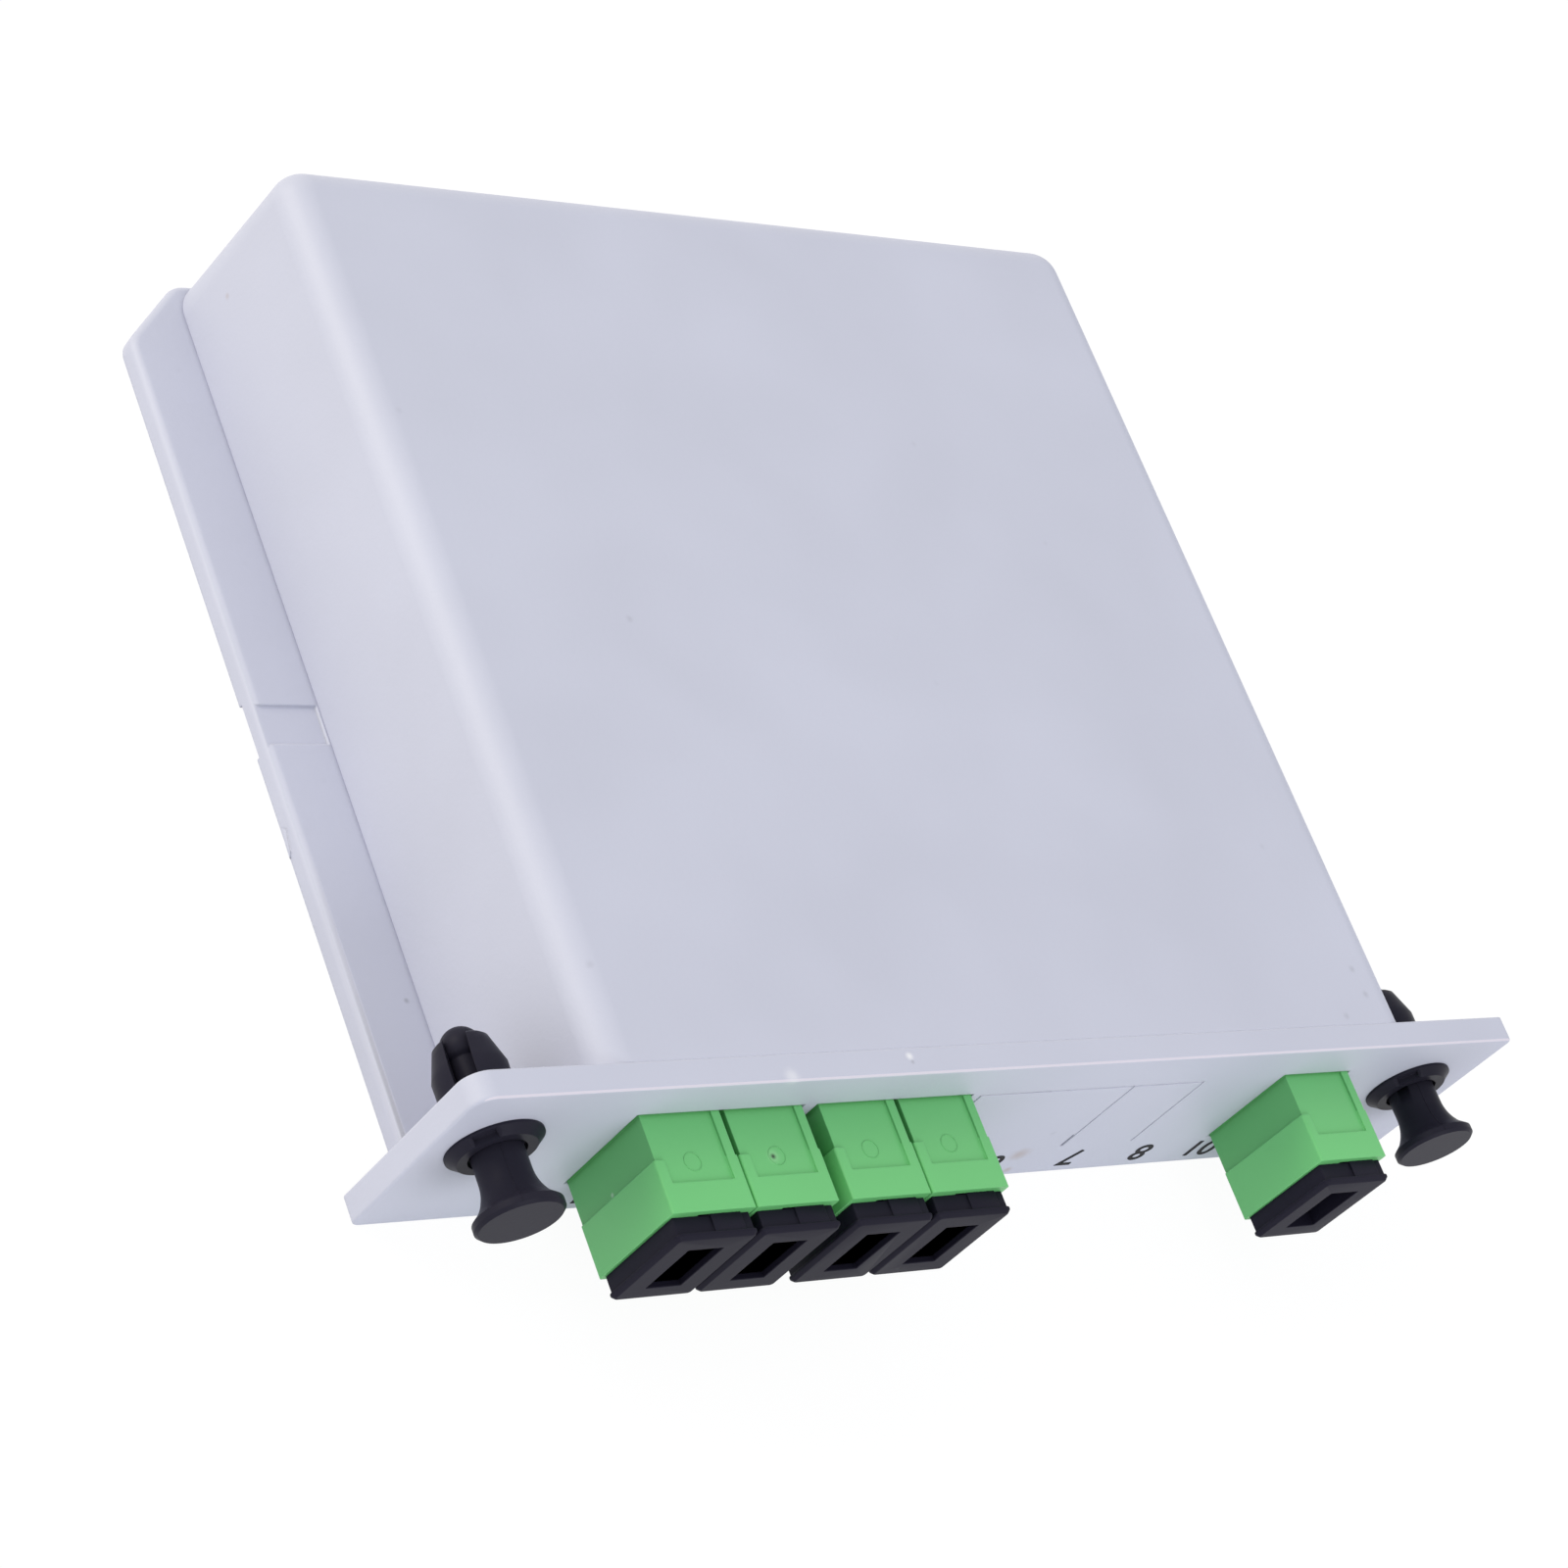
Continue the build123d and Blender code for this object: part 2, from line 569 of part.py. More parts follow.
def cover_shell():
    """The five-sided cover that drops over the tray's rim and butts the panel."""
    shell = drafted_box(0, FLOOR_THICKNESS, PANEL_HEIGHT, COVER_CROWN_RADIUS)
    shell = chamfer(shell.faces().sort_by(Axis.Z)[0].edges(), COVER_FOOT_CHAMFER)
    inner_crown = COVER_CROWN_RADIUS - COVER_WALL
    shell -= drafted_box(COVER_WALL, FLOOR_THICKNESS, COVER_CEILING_Z, inner_crown)
    shell = shell & block(-PANEL_WIDTH, PANEL_WIDTH, 0, 2 * FLOOR_DEPTH, 0, 2 * PANEL_HEIGHT)
    socket_bottom = FLOOR_THICKNESS + BOSS_HEIGHT
    for x, y in boss_places():
        shell += post_z(BOSS_RADIUS, socket_bottom, COVER_CEILING_Z + COVER_WALL / 2, x, y)
    for rib in adapter_ribs(ADAPTER_TOP_Z + RIB_CLEARANCE, COVER_CEILING_Z + COVER_WALL / 2):
        shell += rib
    socket_top = socket_bottom + PEG_HEIGHT + PEG_CLEARANCE
    for x, y in boss_places():
        shell -= post_z(PEG_RADIUS + PEG_CLEARANCE, socket_bottom - 1, socket_top, x, y)
    return shell


def adapter_body(x):
    """An adapter housing with relieved sides, a recessed upper panel and two ports."""
    width = ADAPTER_WIDTH
    height = ADAPTER_HEIGHT
    body = prism_y(width, height, ADAPTER_FRONT_Y, ADAPTER_BACK_Y)
    long_edges = body.edges().filter_by(Axis.Y)
    body = fillet(long_edges, ADAPTER_EDGE_ROUND)
    relief = ADAPTER_SIDE_RELIEF
    for side in (-1, 1):
        cut_x = side * (width / 2 + 1 - relief)
        body -= prism_y(2, 2 * height, ADAPTER_BLOCK_Y, ADAPTER_BACK_Y + 1, cut_x)
    for side in (-1, 1):
        panel_cut = block(
            -width / 2 + ADAPTER_LUG_WIDTH,
            width / 2 - ADAPTER_STRIP_WIDTH,
            ADAPTER_FRONT_Y + ADAPTER_BAND_LENGTH,
            ADAPTER_MIDDLE_Y,
            height / 2 - ADAPTER_PANEL_RELIEF,
            height,
        )
        corner_cut = block(
            -width,
            0,
            ADAPTER_BLOCK_Y,
            ADAPTER_MIDDLE_Y,
            height / 2 - ADAPTER_PANEL_RELIEF,
            height,
        )
        cuts = panel_cut + corner_cut
        body -= cuts if side > 0 else Rot(0, 180, 0) * cuts
    ledge_height = height + 2 * ADAPTER_LEDGE_HEIGHT
    ledge_width = width - 2 * relief
    body += prism_y(ledge_width, ledge_height, 0, ADAPTER_LEDGE_LENGTH)
    wall_front = ADAPTER_MIDDLE_Y - MIDWALL_THICKNESS / 2
    wall_back = ADAPTER_MIDDLE_Y + MIDWALL_THICKNESS / 2
    for y0, y1 in ((ADAPTER_FRONT_Y - 1, wall_front), (wall_back, ADAPTER_BACK_Y + 1)):
        body -= prism_y(PORT_WIDTH, PORT_HEIGHT, y0, y1)
        body -= prism_y(PORT_KEY_WIDTH, 2 * PORT_KEY_DEPTH, y0, y1, 0, PORT_HEIGHT / 2)
    body -= rod_y(HOLDER_RADIUS + HOLDER_CLEARANCE, wall_front - 1, wall_back + 1)
    return Pos(x, 0, ADAPTER_AXIS_Z) * body


def plug_hook():
    """A springy arm beside the sleeve, with the sloped nub that a plug snaps behind."""
    outer = HOLDER_HALF_WIDTH
    inner = outer - HOOK_THICKNESS
    side = make_face(
        Polyline(
            (outer, HOOK_START, 0),
            (outer, HOOK_END, 0),
            (inner, HOOK_END, 0),
            (inner - HOOK_NUB, HOOK_END - HOOK_NUB, 0),
            (inner - HOOK_NUB, HOOK_END - 2 * HOOK_NUB, 0),
            (inner, HOOK_END - 2 * HOOK_NUB, 0),
            (inner, HOOK_START, 0),
            close=True,
        )
    )
    return Pos(0, 0, -HOOK_HEIGHT / 2) * extrude(side, HOOK_HEIGHT, dir=(0, 0, 1))


def sleeve_holder(x):
    """The inner holder: a tube for the sleeve, with a plate and two hooks for each port."""
    tube_half = HOLDER_LENGTH / 2
    plate_start = MIDWALL_THICKNESS / 2
    plate_height = PORT_HEIGHT - 2 * HOLDER_CLEARANCE
    tube = rod_y(HOLDER_RADIUS, -tube_half, tube_half)
    half = prism_y(2 * HOLDER_HALF_WIDTH, plate_height, plate_start, HOOK_START)
    hook = plug_hook()
    half += hook + mirror(hook, Plane.YZ)
    holder = tube + half + mirror(half, Plane.XZ)
    holder -= rod_y(HOLDER_BORE, -tube_half - 1, tube_half + 1)
    return Pos(x, ADAPTER_MIDDLE_Y, ADAPTER_AXIS_Z) * holder


def split_sleeve(x):
    """The ceramic sleeve, slit along one side."""
    y0 = ADAPTER_MIDDLE_Y - SLEEVE_LENGTH / 2
    y1 = ADAPTER_MIDDLE_Y + SLEEVE_LENGTH / 2
    sleeve = rod_y(SLEEVE_RADIUS, y0, y1)
    sleeve -= rod_y(SLEEVE_RADIUS - SLEEVE_WALL, y0 - 1, y1 + 1)
    sleeve -= block(-SLEEVE_SLIT / 2, SLEEVE_SLIT / 2, y0 - 1, y1 + 1, 0, 2 * SLEEVE_RADIUS)
    return Pos(x, 0, ADAPTER_AXIS_Z) * sleeve


def dust_plug(x):
    """The cap that closes a port: flange, body, stem and a pocket with a round cup."""
    seat_y = ADAPTER_FRONT_Y
    flange_y = seat_y - PLUG_BODY_LENGTH
    front_y = flange_y - PLUG_FLANGE_THICKNESS
    stem_width = PORT_WIDTH - 2 * PLUG_STEM_CLEARANCE
    stem_height = PORT_HEIGHT - 2 * PLUG_STEM_CLEARANCE
    plug = prism_y(PLUG_FLANGE_WIDTH, PLUG_FLANGE_HEIGHT, front_y, flange_y, 0, -PLUG_FLANGE_DROP)
    plug = fillet(plug.edges().filter_by(Axis.Y), 2 * PLUG_EDGE_ROUND)
    plug = chamfer(plug.faces().sort_by(Axis.Y)[0].edges(), PLUG_EDGE_ROUND)
    plug += prism_y(PLUG_BODY_WIDTH, PLUG_BODY_HEIGHT, flange_y, seat_y, 0, -PLUG_FLANGE_DROP)
    stem = prism_y(stem_width, stem_height, seat_y, seat_y + PLUG_STEM_LENGTH)
    stem = chamfer(stem.faces().sort_by(Axis.Y)[-1].edges(), 2 * PLUG_STEM_CLEARANCE)
    plug += stem
    key_z = PLUG_BODY_HEIGHT / 2 - PLUG_FLANGE_DROP
    plug += block(
        PLUG_KEY_OFFSET - PLUG_KEY_WIDTH / 2,
        PLUG_KEY_OFFSET + PLUG_KEY_WIDTH / 2,
        flange_y,
        seat_y,
        key_z - PLUG_KEY_HEIGHT,
        key_z + PLUG_KEY_HEIGHT,
    )
    pocket_end = seat_y + PLUG_STEM_LENGTH - PLUG_POCKET_FLOOR
    pocket_z = -PLUG_POCKET_DROP
    plug -= prism_y(PLUG_POCKET_WIDTH, PLUG_POCKET_HEIGHT, front_y - 1, pocket_end, 0, pocket_z)
    cup_y = pocket_end - PLUG_CUP_HEIGHT
    plug += rod_y(PLUG_CUP_RADIUS, cup_y, pocket_end, 0, pocket_z)
    plug -= rod_y(PLUG_CUP_BORE, cup_y - 1, pocket_end - PLUG_POCKET_FLOOR, 0, pocket_z)
    return Pos(x, 0, ADAPTER_AXIS_Z) * plug


def latch_grommet(side):
    """The plunger's sleeve: a notched collar before the panel and two flared legs behind."""
    barrel = LATCH_HOLE_RADIUS - LATCH_HOLE_CLEARANCE
    collar_y = PANEL_FRONT_Y - COLLAR_THICKNESS
    outside = turned_y(
        [
            (0, collar_y),
            (COLLAR_RIM_RADIUS - COLLAR_EDGE, collar_y),
            (COLLAR_RIM_RADIUS, collar_y + COLLAR_EDGE),
            (COLLAR_RADIUS, PANEL_FRONT_Y - COLLAR_EDGE),
            (COLLAR_RADIUS, PANEL_FRONT_Y),
            (barrel, PANEL_FRONT_Y),
            (barrel, LEG_ROOT_GAP),
            (LEG_ROOT_RADIUS, LEG_ROOT_GAP),
            (LEG_ROOT_RADIUS, 2 * LEG_ROOT_GAP),
            (LEG_WAIST_RADIUS, LEG_FLARE_LENGTH),
            (LEG_SHOULDER_RADIUS, LEG_SHOULDER_LENGTH),
            (LEG_TIP_RADIUS, LEG_LENGTH),
            (0, LEG_LENGTH),
        ]
    )
    bore = PIN_RADIUS + PIN_CLEARANCE
    hollow = PIN_HEAD_RADIUS + PIN_HEAD_CLEARANCE
    head_start = PIN_TIP_LENGTH - PIN_HEAD_RADIUS - PIN_HEAD_LENGTH
    hollow_start = head_start - LATCH_TRAVEL - PIN_HEAD_CLEARANCE
    hollow_end = LEG_LENGTH + 1
    outside -= rod_y(COLLAR_RECESS_RADIUS, collar_y - 1, collar_y + COLLAR_RECESS_DEPTH)
    outside -= rod_y(bore, collar_y - 1, hollow_end)
    outside -= rod_y(hollow, hollow_start, hollow_end)
    slot = block(
        -2 * COLLAR_RADIUS,
        2 * COLLAR_RADIUS,
        LEG_ROOT_GAP,
        hollow_end,
        -LEG_SLOT_WIDTH / 2,
        LEG_SLOT_WIDTH / 2,
    )
    outside -= Rot(0, LEG_SLOT_ANGLE, 0) * slot
    for end in (-1, 1):
        notch_x = end * (COLLAR_NOTCH_RADIUS + COLLAR_RADIUS)
        notch_y = PANEL_FRONT_Y - COLLAR_BASE_THICKNESS
        notch = prism_y(2 * COLLAR_RADIUS, LEG_SLOT_WIDTH, collar_y - 1, notch_y, notch_x)
        outside -= Rot(0, LEG_SLOT_ANGLE, 0) * notch
    return Pos(latch_x(side), 0, LATCH_Z) * outside


def latch_pin(side):
    """The plunger's pin: a spool-shaped knob, a concave neck, a shaft and a domed head."""
    collar_y = PANEL_FRONT_Y - COLLAR_THICKNESS
    seat_y = collar_y + COLLAR_RECESS_DEPTH
    face_y = PANEL_FRONT_Y - KNOB_REACH
    rim_y = face_y + KNOB_CHAMFER + KNOB_RIM_LENGTH
    slope_y = rim_y + KNOB_SLOPE_LENGTH
    flare_y = slope_y + NECK_FLARE_LENGTH
    head_y = PIN_TIP_LENGTH - PIN_HEAD_RADIUS
    head_start = head_y - PIN_HEAD_LENGTH
    outline = (
        Polyline(
            (0, face_y),
            (KNOB_RADIUS - KNOB_CHAMFER, face_y),
            (KNOB_RADIUS, face_y + KNOB_CHAMFER),
            (KNOB_RADIUS, rim_y),
            (KNOB_SLOPE_RADIUS, slope_y),
        )
        + TangentArc((NECK_RADIUS, flare_y), (KNOB_SLOPE_RADIUS, slope_y), tangent=(0, -1))
        + Polyline(
            (NECK_RADIUS, flare_y),
            (NECK_RADIUS, seat_y),
            (PIN_RADIUS, seat_y),
            (PIN_RADIUS, head_start),
            (PIN_HEAD_RADIUS, head_start + PIN_HEAD_RADIUS - PIN_RADIUS),
            (PIN_HEAD_RADIUS, head_y),
        )
        + RadiusArc((PIN_HEAD_RADIUS, head_y), (0, PIN_TIP_LENGTH), -PIN_HEAD_RADIUS)
        + Line((0, PIN_TIP_LENGTH), (0, face_y))
    )
    pin = revolve(make_face(outline), Axis.Y)
    return Pos(latch_x(side), 0, LATCH_Z) * pin


def inner_connector(x):
    """A plug in the rear port: a nose slotted for the hooks, a ribbed grip and a ferrule recess."""
    nose_width = PORT_WIDTH - 2 * CONNECTOR_CLEARANCE
    nose_height = PORT_HEIGHT - 2 * CONNECTOR_CLEARANCE
    body = prism_y(nose_width, nose_height, CONNECTOR_FRONT_Y, CONNECTOR_GRIP_Y)
    slot_x = HOLDER_HALF_WIDTH - HOOK_THICKNESS - HOOK_NUB - HOLDER_CLEARANCE
    slot_end = ADAPTER_MIDDLE_Y + HOOK_END + HOLDER_CLEARANCE
    slot_height = HOOK_HEIGHT + 2 * HOLDER_CLEARANCE
    for side in (-1, 1):
        side_x = side * (slot_x + nose_width / 2)
        body -= prism_y(nose_width, slot_height, CONNECTOR_FRONT_Y - 1, slot_end, side_x)
    grip = prism_y(CONNECTOR_GRIP_WIDTH, CONNECTOR_GRIP_HEIGHT, CONNECTOR_GRIP_Y, CONNECTOR_BACK_Y)
    rib_pitch = CONNECTOR_GRIP_LENGTH / CONNECTOR_RIBS
    for number in range(CONNECTOR_RIBS):
        groove_y = CONNECTOR_GRIP_Y + number * rib_pitch + rib_pitch / 4
        for side in (-1, 1):
            groove_x = side * (CONNECTOR_GRIP_WIDTH / 2 + 1 - CONNECTOR_RIB_DEPTH)
            grip -= prism_y(2, 2 * CONNECTOR_GRIP_HEIGHT, groove_y, groove_y + rib_pitch / 2, groove_x)
    body += grip
    bore_end = CONNECTOR_FRONT_Y + CONNECTOR_NOSE_BORE_DEPTH
    body -= rod_y(CONNECTOR_NOSE_BORE, CONNECTOR_FRONT_Y - 1, bore_end)
    ferrule_end = ADAPTER_MIDDLE_Y + FERRULE_LENGTH
    body -= rod_y(FERRULE_RADIUS, CONNECTOR_FRONT_Y - 1, ferrule_end)
    return Pos(x, 0, ADAPTER_AXIS_Z) * body


def ferrule(x):
    """The ceramic ferrule, whose tip reaches the middle of the sleeve."""
    bar = rod_y(FERRULE_RADIUS, ADAPTER_MIDDLE_Y, ADAPTER_MIDDLE_Y + FERRULE_LENGTH)
    bar = chamfer(bar.faces().sort_by(Axis.Y)[0].edges(), FERRULE_RADIUS / 3)
    return Pos(x, 0, ADAPTER_AXIS_Z) * bar


def connector_boot(x):
    """A tapered boot with grooves, which ends where the fibre tube starts."""
    profile = [(0, CONNECTOR_BACK_Y), (BOOT_ROOT_RADIUS, CONNECTOR_BACK_Y)]
    slope = (BOOT_TIP_RADIUS - BOOT_ROOT_RADIUS) / BOOT_LENGTH
    groove_pitch = BOOT_LENGTH / (2 * BOOT_GROOVES)
    for number in range(BOOT_GROOVES):
        start = BOOT_LENGTH / 4 + number * groove_pitch
        for along, drop in ((0, 0), (0, 1), (BOOT_GROOVE_WIDTH, 1), (BOOT_GROOVE_WIDTH, 0)):
            reach = start + along
            radius = BOOT_ROOT_RADIUS + slope * reach - drop * BOOT_GROOVE_DEPTH
            profile.append((radius, CONNECTOR_BACK_Y + reach))
    profile += [(BOOT_TIP_RADIUS, BOOT_END_Y), (0, BOOT_END_Y)]
    return Pos(x, 0, ADAPTER_AXIS_Z) * turned_y(profile)


def splitter_module():
    """The steel case that holds the splitter chip."""
    half = MODULE_LENGTH / 2
    case = block(
        -half,
        half,
        MODULE_Y - MODULE_WIDTH / 2,
        MODULE_Y + MODULE_WIDTH / 2,
        FLOOR_THICKNESS,
        FLOOR_THICKNESS + MODULE_HEIGHT,
    )
    return fillet(case.edges().filter_by(Axis.X), MODULE_ROUND)


def tube_along(name, points, radii):
    """A fibre tube of straight runs and arcs, with its length and volume printed."""
    path = FilletPolyline(*points, radius=radii)
    start = Vector(*points[0])
    heading = Vector(*points[1]) - start
    section = Plane(origin=start, z_dir=heading) * Circle(FIBRE_RADIUS)
    tube = sweep(section, path)
    ratio = tube.volume / (section.area * path.length)
    print(name, "length", round(path.length, 1), "volume ratio", round(ratio, 4))
    print(name, "radii", [round(radius, 2) for radius in radii])
    return tube


def output_fibre(number):
    """An output tube: out of the module, once round both spools and into its boot."""
    x = OUTPUT_X[number]
    lane = (1.5 - number) * FIBRE_PITCH
    turn = LOOP_RADIUS + lane
    back_rise_x = LOOP_RIGHT_X - BACK_RISE_GAP
    points = [
        (-MODULE_LENGTH / 2, MODULE_Y + lane, LOW_LEVEL_Z),
        (LEFT_RUN_X - lane, MODULE_Y + lane, LOW_LEVEL_Z),
        (LEFT_RUN_X - lane, FRONT_RUN_Y - lane, LOW_LEVEL_Z),
        (LOOP_MIDDLE_X - FRONT_RISE_LENGTH / 2, FRONT_RUN_Y - lane, LOW_LEVEL_Z),
        (LOOP_MIDDLE_X + FRONT_RISE_LENGTH / 2, FRONT_RUN_Y - lane, MIDDLE_LEVEL_Z),
        (RIGHT_RUN_X + lane, FRONT_RUN_Y - lane, MIDDLE_LEVEL_Z),
        (RIGHT_RUN_X + lane, BACK_RUN_Y + lane, MIDDLE_LEVEL_Z),
        (back_rise_x, BACK_RUN_Y + lane, MIDDLE_LEVEL_Z),
        (back_rise_x - BACK_RISE_LENGTH, BACK_RUN_Y + lane, ADAPTER_AXIS_Z),
        (x, BACK_RUN_Y + lane, ADAPTER_AXIS_Z),
        (x, BOOT_END_Y, ADAPTER_AXIS_Z),
    ]
    radii = [
        turn,
        turn,
        FRONT_RISE_RADIUS,
        FRONT_RISE_RADIUS,
        turn,
        turn,
        BACK_RISE_RADIUS,
        BACK_RISE_RADIUS,
        LOOP_RADIUS,
    ]
    return tube_along(f"output_fibre_{number + 1}", points, radii)


def input_fibre():
    """The input tube: out of its boot, once round both spools and into the module."""
    fall_x = INPUT_X - INPUT_FALL_GAP
    points = [
        (INPUT_X, BOOT_END_Y, ADAPTER_AXIS_Z),
        (INPUT_X, INPUT_BACK_Y, ADAPTER_AXIS_Z),
        (fall_x, INPUT_BACK_Y, ADAPTER_AXIS_Z),
        (fall_x - INPUT_FALL_LENGTH, INPUT_BACK_Y, INPUT_LEVEL_Z),
        (INPUT_LEFT_X, INPUT_BACK_Y, INPUT_LEVEL_Z),
        (INPUT_LEFT_X, INPUT_FRONT_Y, INPUT_LEVEL_Z),
        (LOOP_MIDDLE_X - INPUT_DROP_LENGTH / 2, INPUT_FRONT_Y, INPUT_LEVEL_Z),
        (LOOP_MIDDLE_X + INPUT_DROP_LENGTH / 2, INPUT_FRONT_Y, LOW_LEVEL_Z),
        (INPUT_RIGHT_X, INPUT_FRONT_Y, LOW_LEVEL_Z),
        (INPUT_RIGHT_X, MODULE_Y, LOW_LEVEL_Z),
        (MODULE_LENGTH / 2, MODULE_Y, LOW_LEVEL_Z),
    ]
    radii = [
        LOOP_RADIUS,
        INPUT_FALL_RADIUS,
        INPUT_FALL_RADIUS,
        LOOP_RADIUS - INPUT_LEFT_GAP,
        LOOP_RADIUS - INPUT_LEFT_GAP,
        INPUT_DROP_RADIUS,
        INPUT_DROP_RADIUS,
        LOOP_RADIUS,
        LOOP_RADIUS,
    ]
    return tube_along("input_fibre", points, radii)


def channel_nodes(name, x):
    """Every piece that one port repeats."""
    return {
        f"{name}_adapter": adapter_body(x),
        f"{name}_sleeve_holder": sleeve_holder(x),
        f"{name}_split_sleeve": split_sleeve(x),
        f"{name}_dust_plug": dust_plug(x),
        f"{name}_connector": inner_connector(x),
        f"{name}_ferrule": ferrule(x),
        f"{name}_boot": connector_boot(x),
    }


def all_nodes():
    """Every node by its name."""
    nodes = {"base_tray": base_tray(), "cover_shell": cover_shell(), "splitter_module": splitter_module()}
    for side, word in ((-1, "left"), (1, "right")):
        nodes[f"{word}_latch_grommet"] = latch_grommet(side)
        nodes[f"{word}_latch_pin"] = latch_pin(side)
    for number, x in enumerate(OUTPUT_X):
        nodes.update(channel_nodes(f"output_{number + 1}", x))
        nodes[f"output_{number + 1}_fibre"] = output_fibre(number)
    nodes.update(channel_nodes("input", INPUT_X))
    nodes["input_fibre"] = input_fibre()
    return nodes


os.makedirs("parts", exist_ok=True)
for node_name, solid in all_nodes().items():
    export_step(solid, f"parts/{node_name}.step")
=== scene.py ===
# %% [markdown]
# # A fibre splitter cassette
# The cassette is a moulded tray with a front panel, a lid that drops over it, five green
# adapters with black dust plugs, and two black pull plungers. The solids come from the
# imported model. This script gives them their finishes, softens the edges that catch the
# light, and adds what is too fine for the solids: printed numbers, moulding marks, dust.

# %% Load the frame
import bpy
import bmesh
import json
import math
from mathutils import Matrix, Vector
from mathutils.bvhtree import BVHTree


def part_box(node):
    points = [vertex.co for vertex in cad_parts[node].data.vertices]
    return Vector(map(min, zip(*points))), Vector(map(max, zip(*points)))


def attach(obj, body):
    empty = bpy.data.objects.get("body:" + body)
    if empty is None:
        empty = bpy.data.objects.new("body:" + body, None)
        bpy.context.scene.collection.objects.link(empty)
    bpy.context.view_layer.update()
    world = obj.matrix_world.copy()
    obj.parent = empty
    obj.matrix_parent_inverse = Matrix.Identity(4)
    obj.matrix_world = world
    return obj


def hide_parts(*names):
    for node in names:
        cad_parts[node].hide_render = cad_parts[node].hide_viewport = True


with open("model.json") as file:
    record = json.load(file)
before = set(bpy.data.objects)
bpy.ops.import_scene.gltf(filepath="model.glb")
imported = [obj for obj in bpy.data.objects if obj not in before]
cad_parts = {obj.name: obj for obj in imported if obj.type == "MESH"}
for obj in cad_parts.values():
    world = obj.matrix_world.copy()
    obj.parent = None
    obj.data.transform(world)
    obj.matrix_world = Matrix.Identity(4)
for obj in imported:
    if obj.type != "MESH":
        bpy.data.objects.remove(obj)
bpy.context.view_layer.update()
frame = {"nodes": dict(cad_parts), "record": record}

# %% Sizes that every cell shares
MM = 0.001
PORTS = ["output_1", "output_2", "output_3", "output_4", "input"]
SIDES = ["left", "right"]
tray_low, tray_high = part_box("base_tray")
PANEL_FRONT_Y = tray_low.y
PANEL_TOP_Z = tray_high.z
print("panel front at", round(PANEL_FRONT_Y, 5), "top at", round(PANEL_TOP_Z, 5))

# %% [markdown]
# The camera comes first. Its place was solved from the straight edges of the object, so it
# stands where the photographer stood, turned almost half a right angle about its own axis.
# A camera looks along its own -Z, so the matrix columns are right, up and back.

# %% Camera
CAMERA_PLACE = Vector((-0.26502, -0.13222, 0.27964))
CAMERA_RIGHT = Vector((0.775583, -0.334424, 0.535380))
CAMERA_UP = Vector((-0.000573, 0.847759, 0.530381))
CAMERA_LENS = 95.655
SENSOR_WIDTH = 36.0
camera_data = bpy.data.cameras.new("camera")
camera_data.lens = CAMERA_LENS
camera_data.sensor_width = SENSOR_WIDTH
camera_data.clip_start = 0.01
camera_data.clip_end = 10.0
camera = bpy.data.objects.new("camera", camera_data)
bpy.context.scene.collection.objects.link(camera)
camera_back = CAMERA_RIGHT.cross(CAMERA_UP).normalized()
camera_turn = Matrix((CAMERA_RIGHT, CAMERA_UP, camera_back)).transposed()
camera.matrix_world = Matrix.Translation(CAMERA_PLACE) @ camera_turn.to_4x4()
bpy.context.scene.camera = camera
print("camera looks along", [round(v, 3) for v in -camera_back])

# %% [markdown]
# The cassette lies on a white table under soft light. Large area lamps give soft edges to
# the shading, because the light comes from many directions at once. The table and the
# world look white to the camera and to reflections, and stay plain for the light itself.

# %% Helpers for node trees
def link_chain(tree, pairs):
    """Link (node, output) to (node, input) pairs in a node tree."""
    for (source, out), (target, into) in pairs:
        tree.links.new(source.outputs[out], target.inputs[into])


def new_node(tree, kind, **values):
    """A node with its properties and its unlinked inputs set by name."""
    node = tree.nodes.new(kind)
    for name, value in values.items():
        if hasattr(node, name):
            setattr(node, name, value)
        else:
            node.inputs[name].default_value = value
    return node


def new_material(name):
    """A material with an empty tree and its output node."""
    material = bpy.data.materials.new(name)
    material.use_nodes = True
    material.node_tree.nodes.clear()
    output = material.node_tree.nodes.new("ShaderNodeOutputMaterial")
    return material, material.node_tree, output


def seen_white(tree):
    """A socket that is one for rays from the camera and for those in a mirror or glass."""
    path = tree.nodes.new("ShaderNodeLightPath")
    mirrored = new_node(tree, "ShaderNodeMath", operation="MAXIMUM")
    seen = new_node(tree, "ShaderNodeMath", operation="MAXIMUM")
    link_chain(tree, [
        ((path, "Is Glossy Ray"), (mirrored, 0)),
        ((path, "Is Transmission Ray"), (mirrored, 1)),
        ((path, "Is Camera Ray"), (seen, 0)),
        ((mirrored, "Value"), (seen, 1)),
    ])
    return seen


# %% World
WORLD_LIGHT = 0.71
world = bpy.data.worlds.new("studio")
bpy.context.scene.world = world
world.use_nodes = True
world_tree = world.node_tree
world_tree.nodes.clear()
world_output = world_tree.nodes.new("ShaderNodeOutputWorld")
soft_fill = new_node(world_tree, "ShaderNodeBackground", Strength=WORLD_LIGHT)
white_back = new_node(world_tree, "ShaderNodeBackground", Strength=1.0)
world_seen = seen_white(world_tree)
world_mix = world_tree.nodes.new("ShaderNodeMixShader")
link_chain(world_tree, [
    ((world_seen, "Value"), (world_mix, 0)),
    ((soft_fill, "Background"), (world_mix, 1)),
    ((white_back, "Background"), (world_mix, 2)),
    ((world_mix, "Shader"), (world_output, "Surface")),
])
soft_fill.inputs["Color"].default_value = (0.98, 1.0, 1.04, 1)
white_back.inputs["Color"].default_value = (1, 1, 1, 1)
bpy.context.scene.view_settings.view_transform = "Standard"

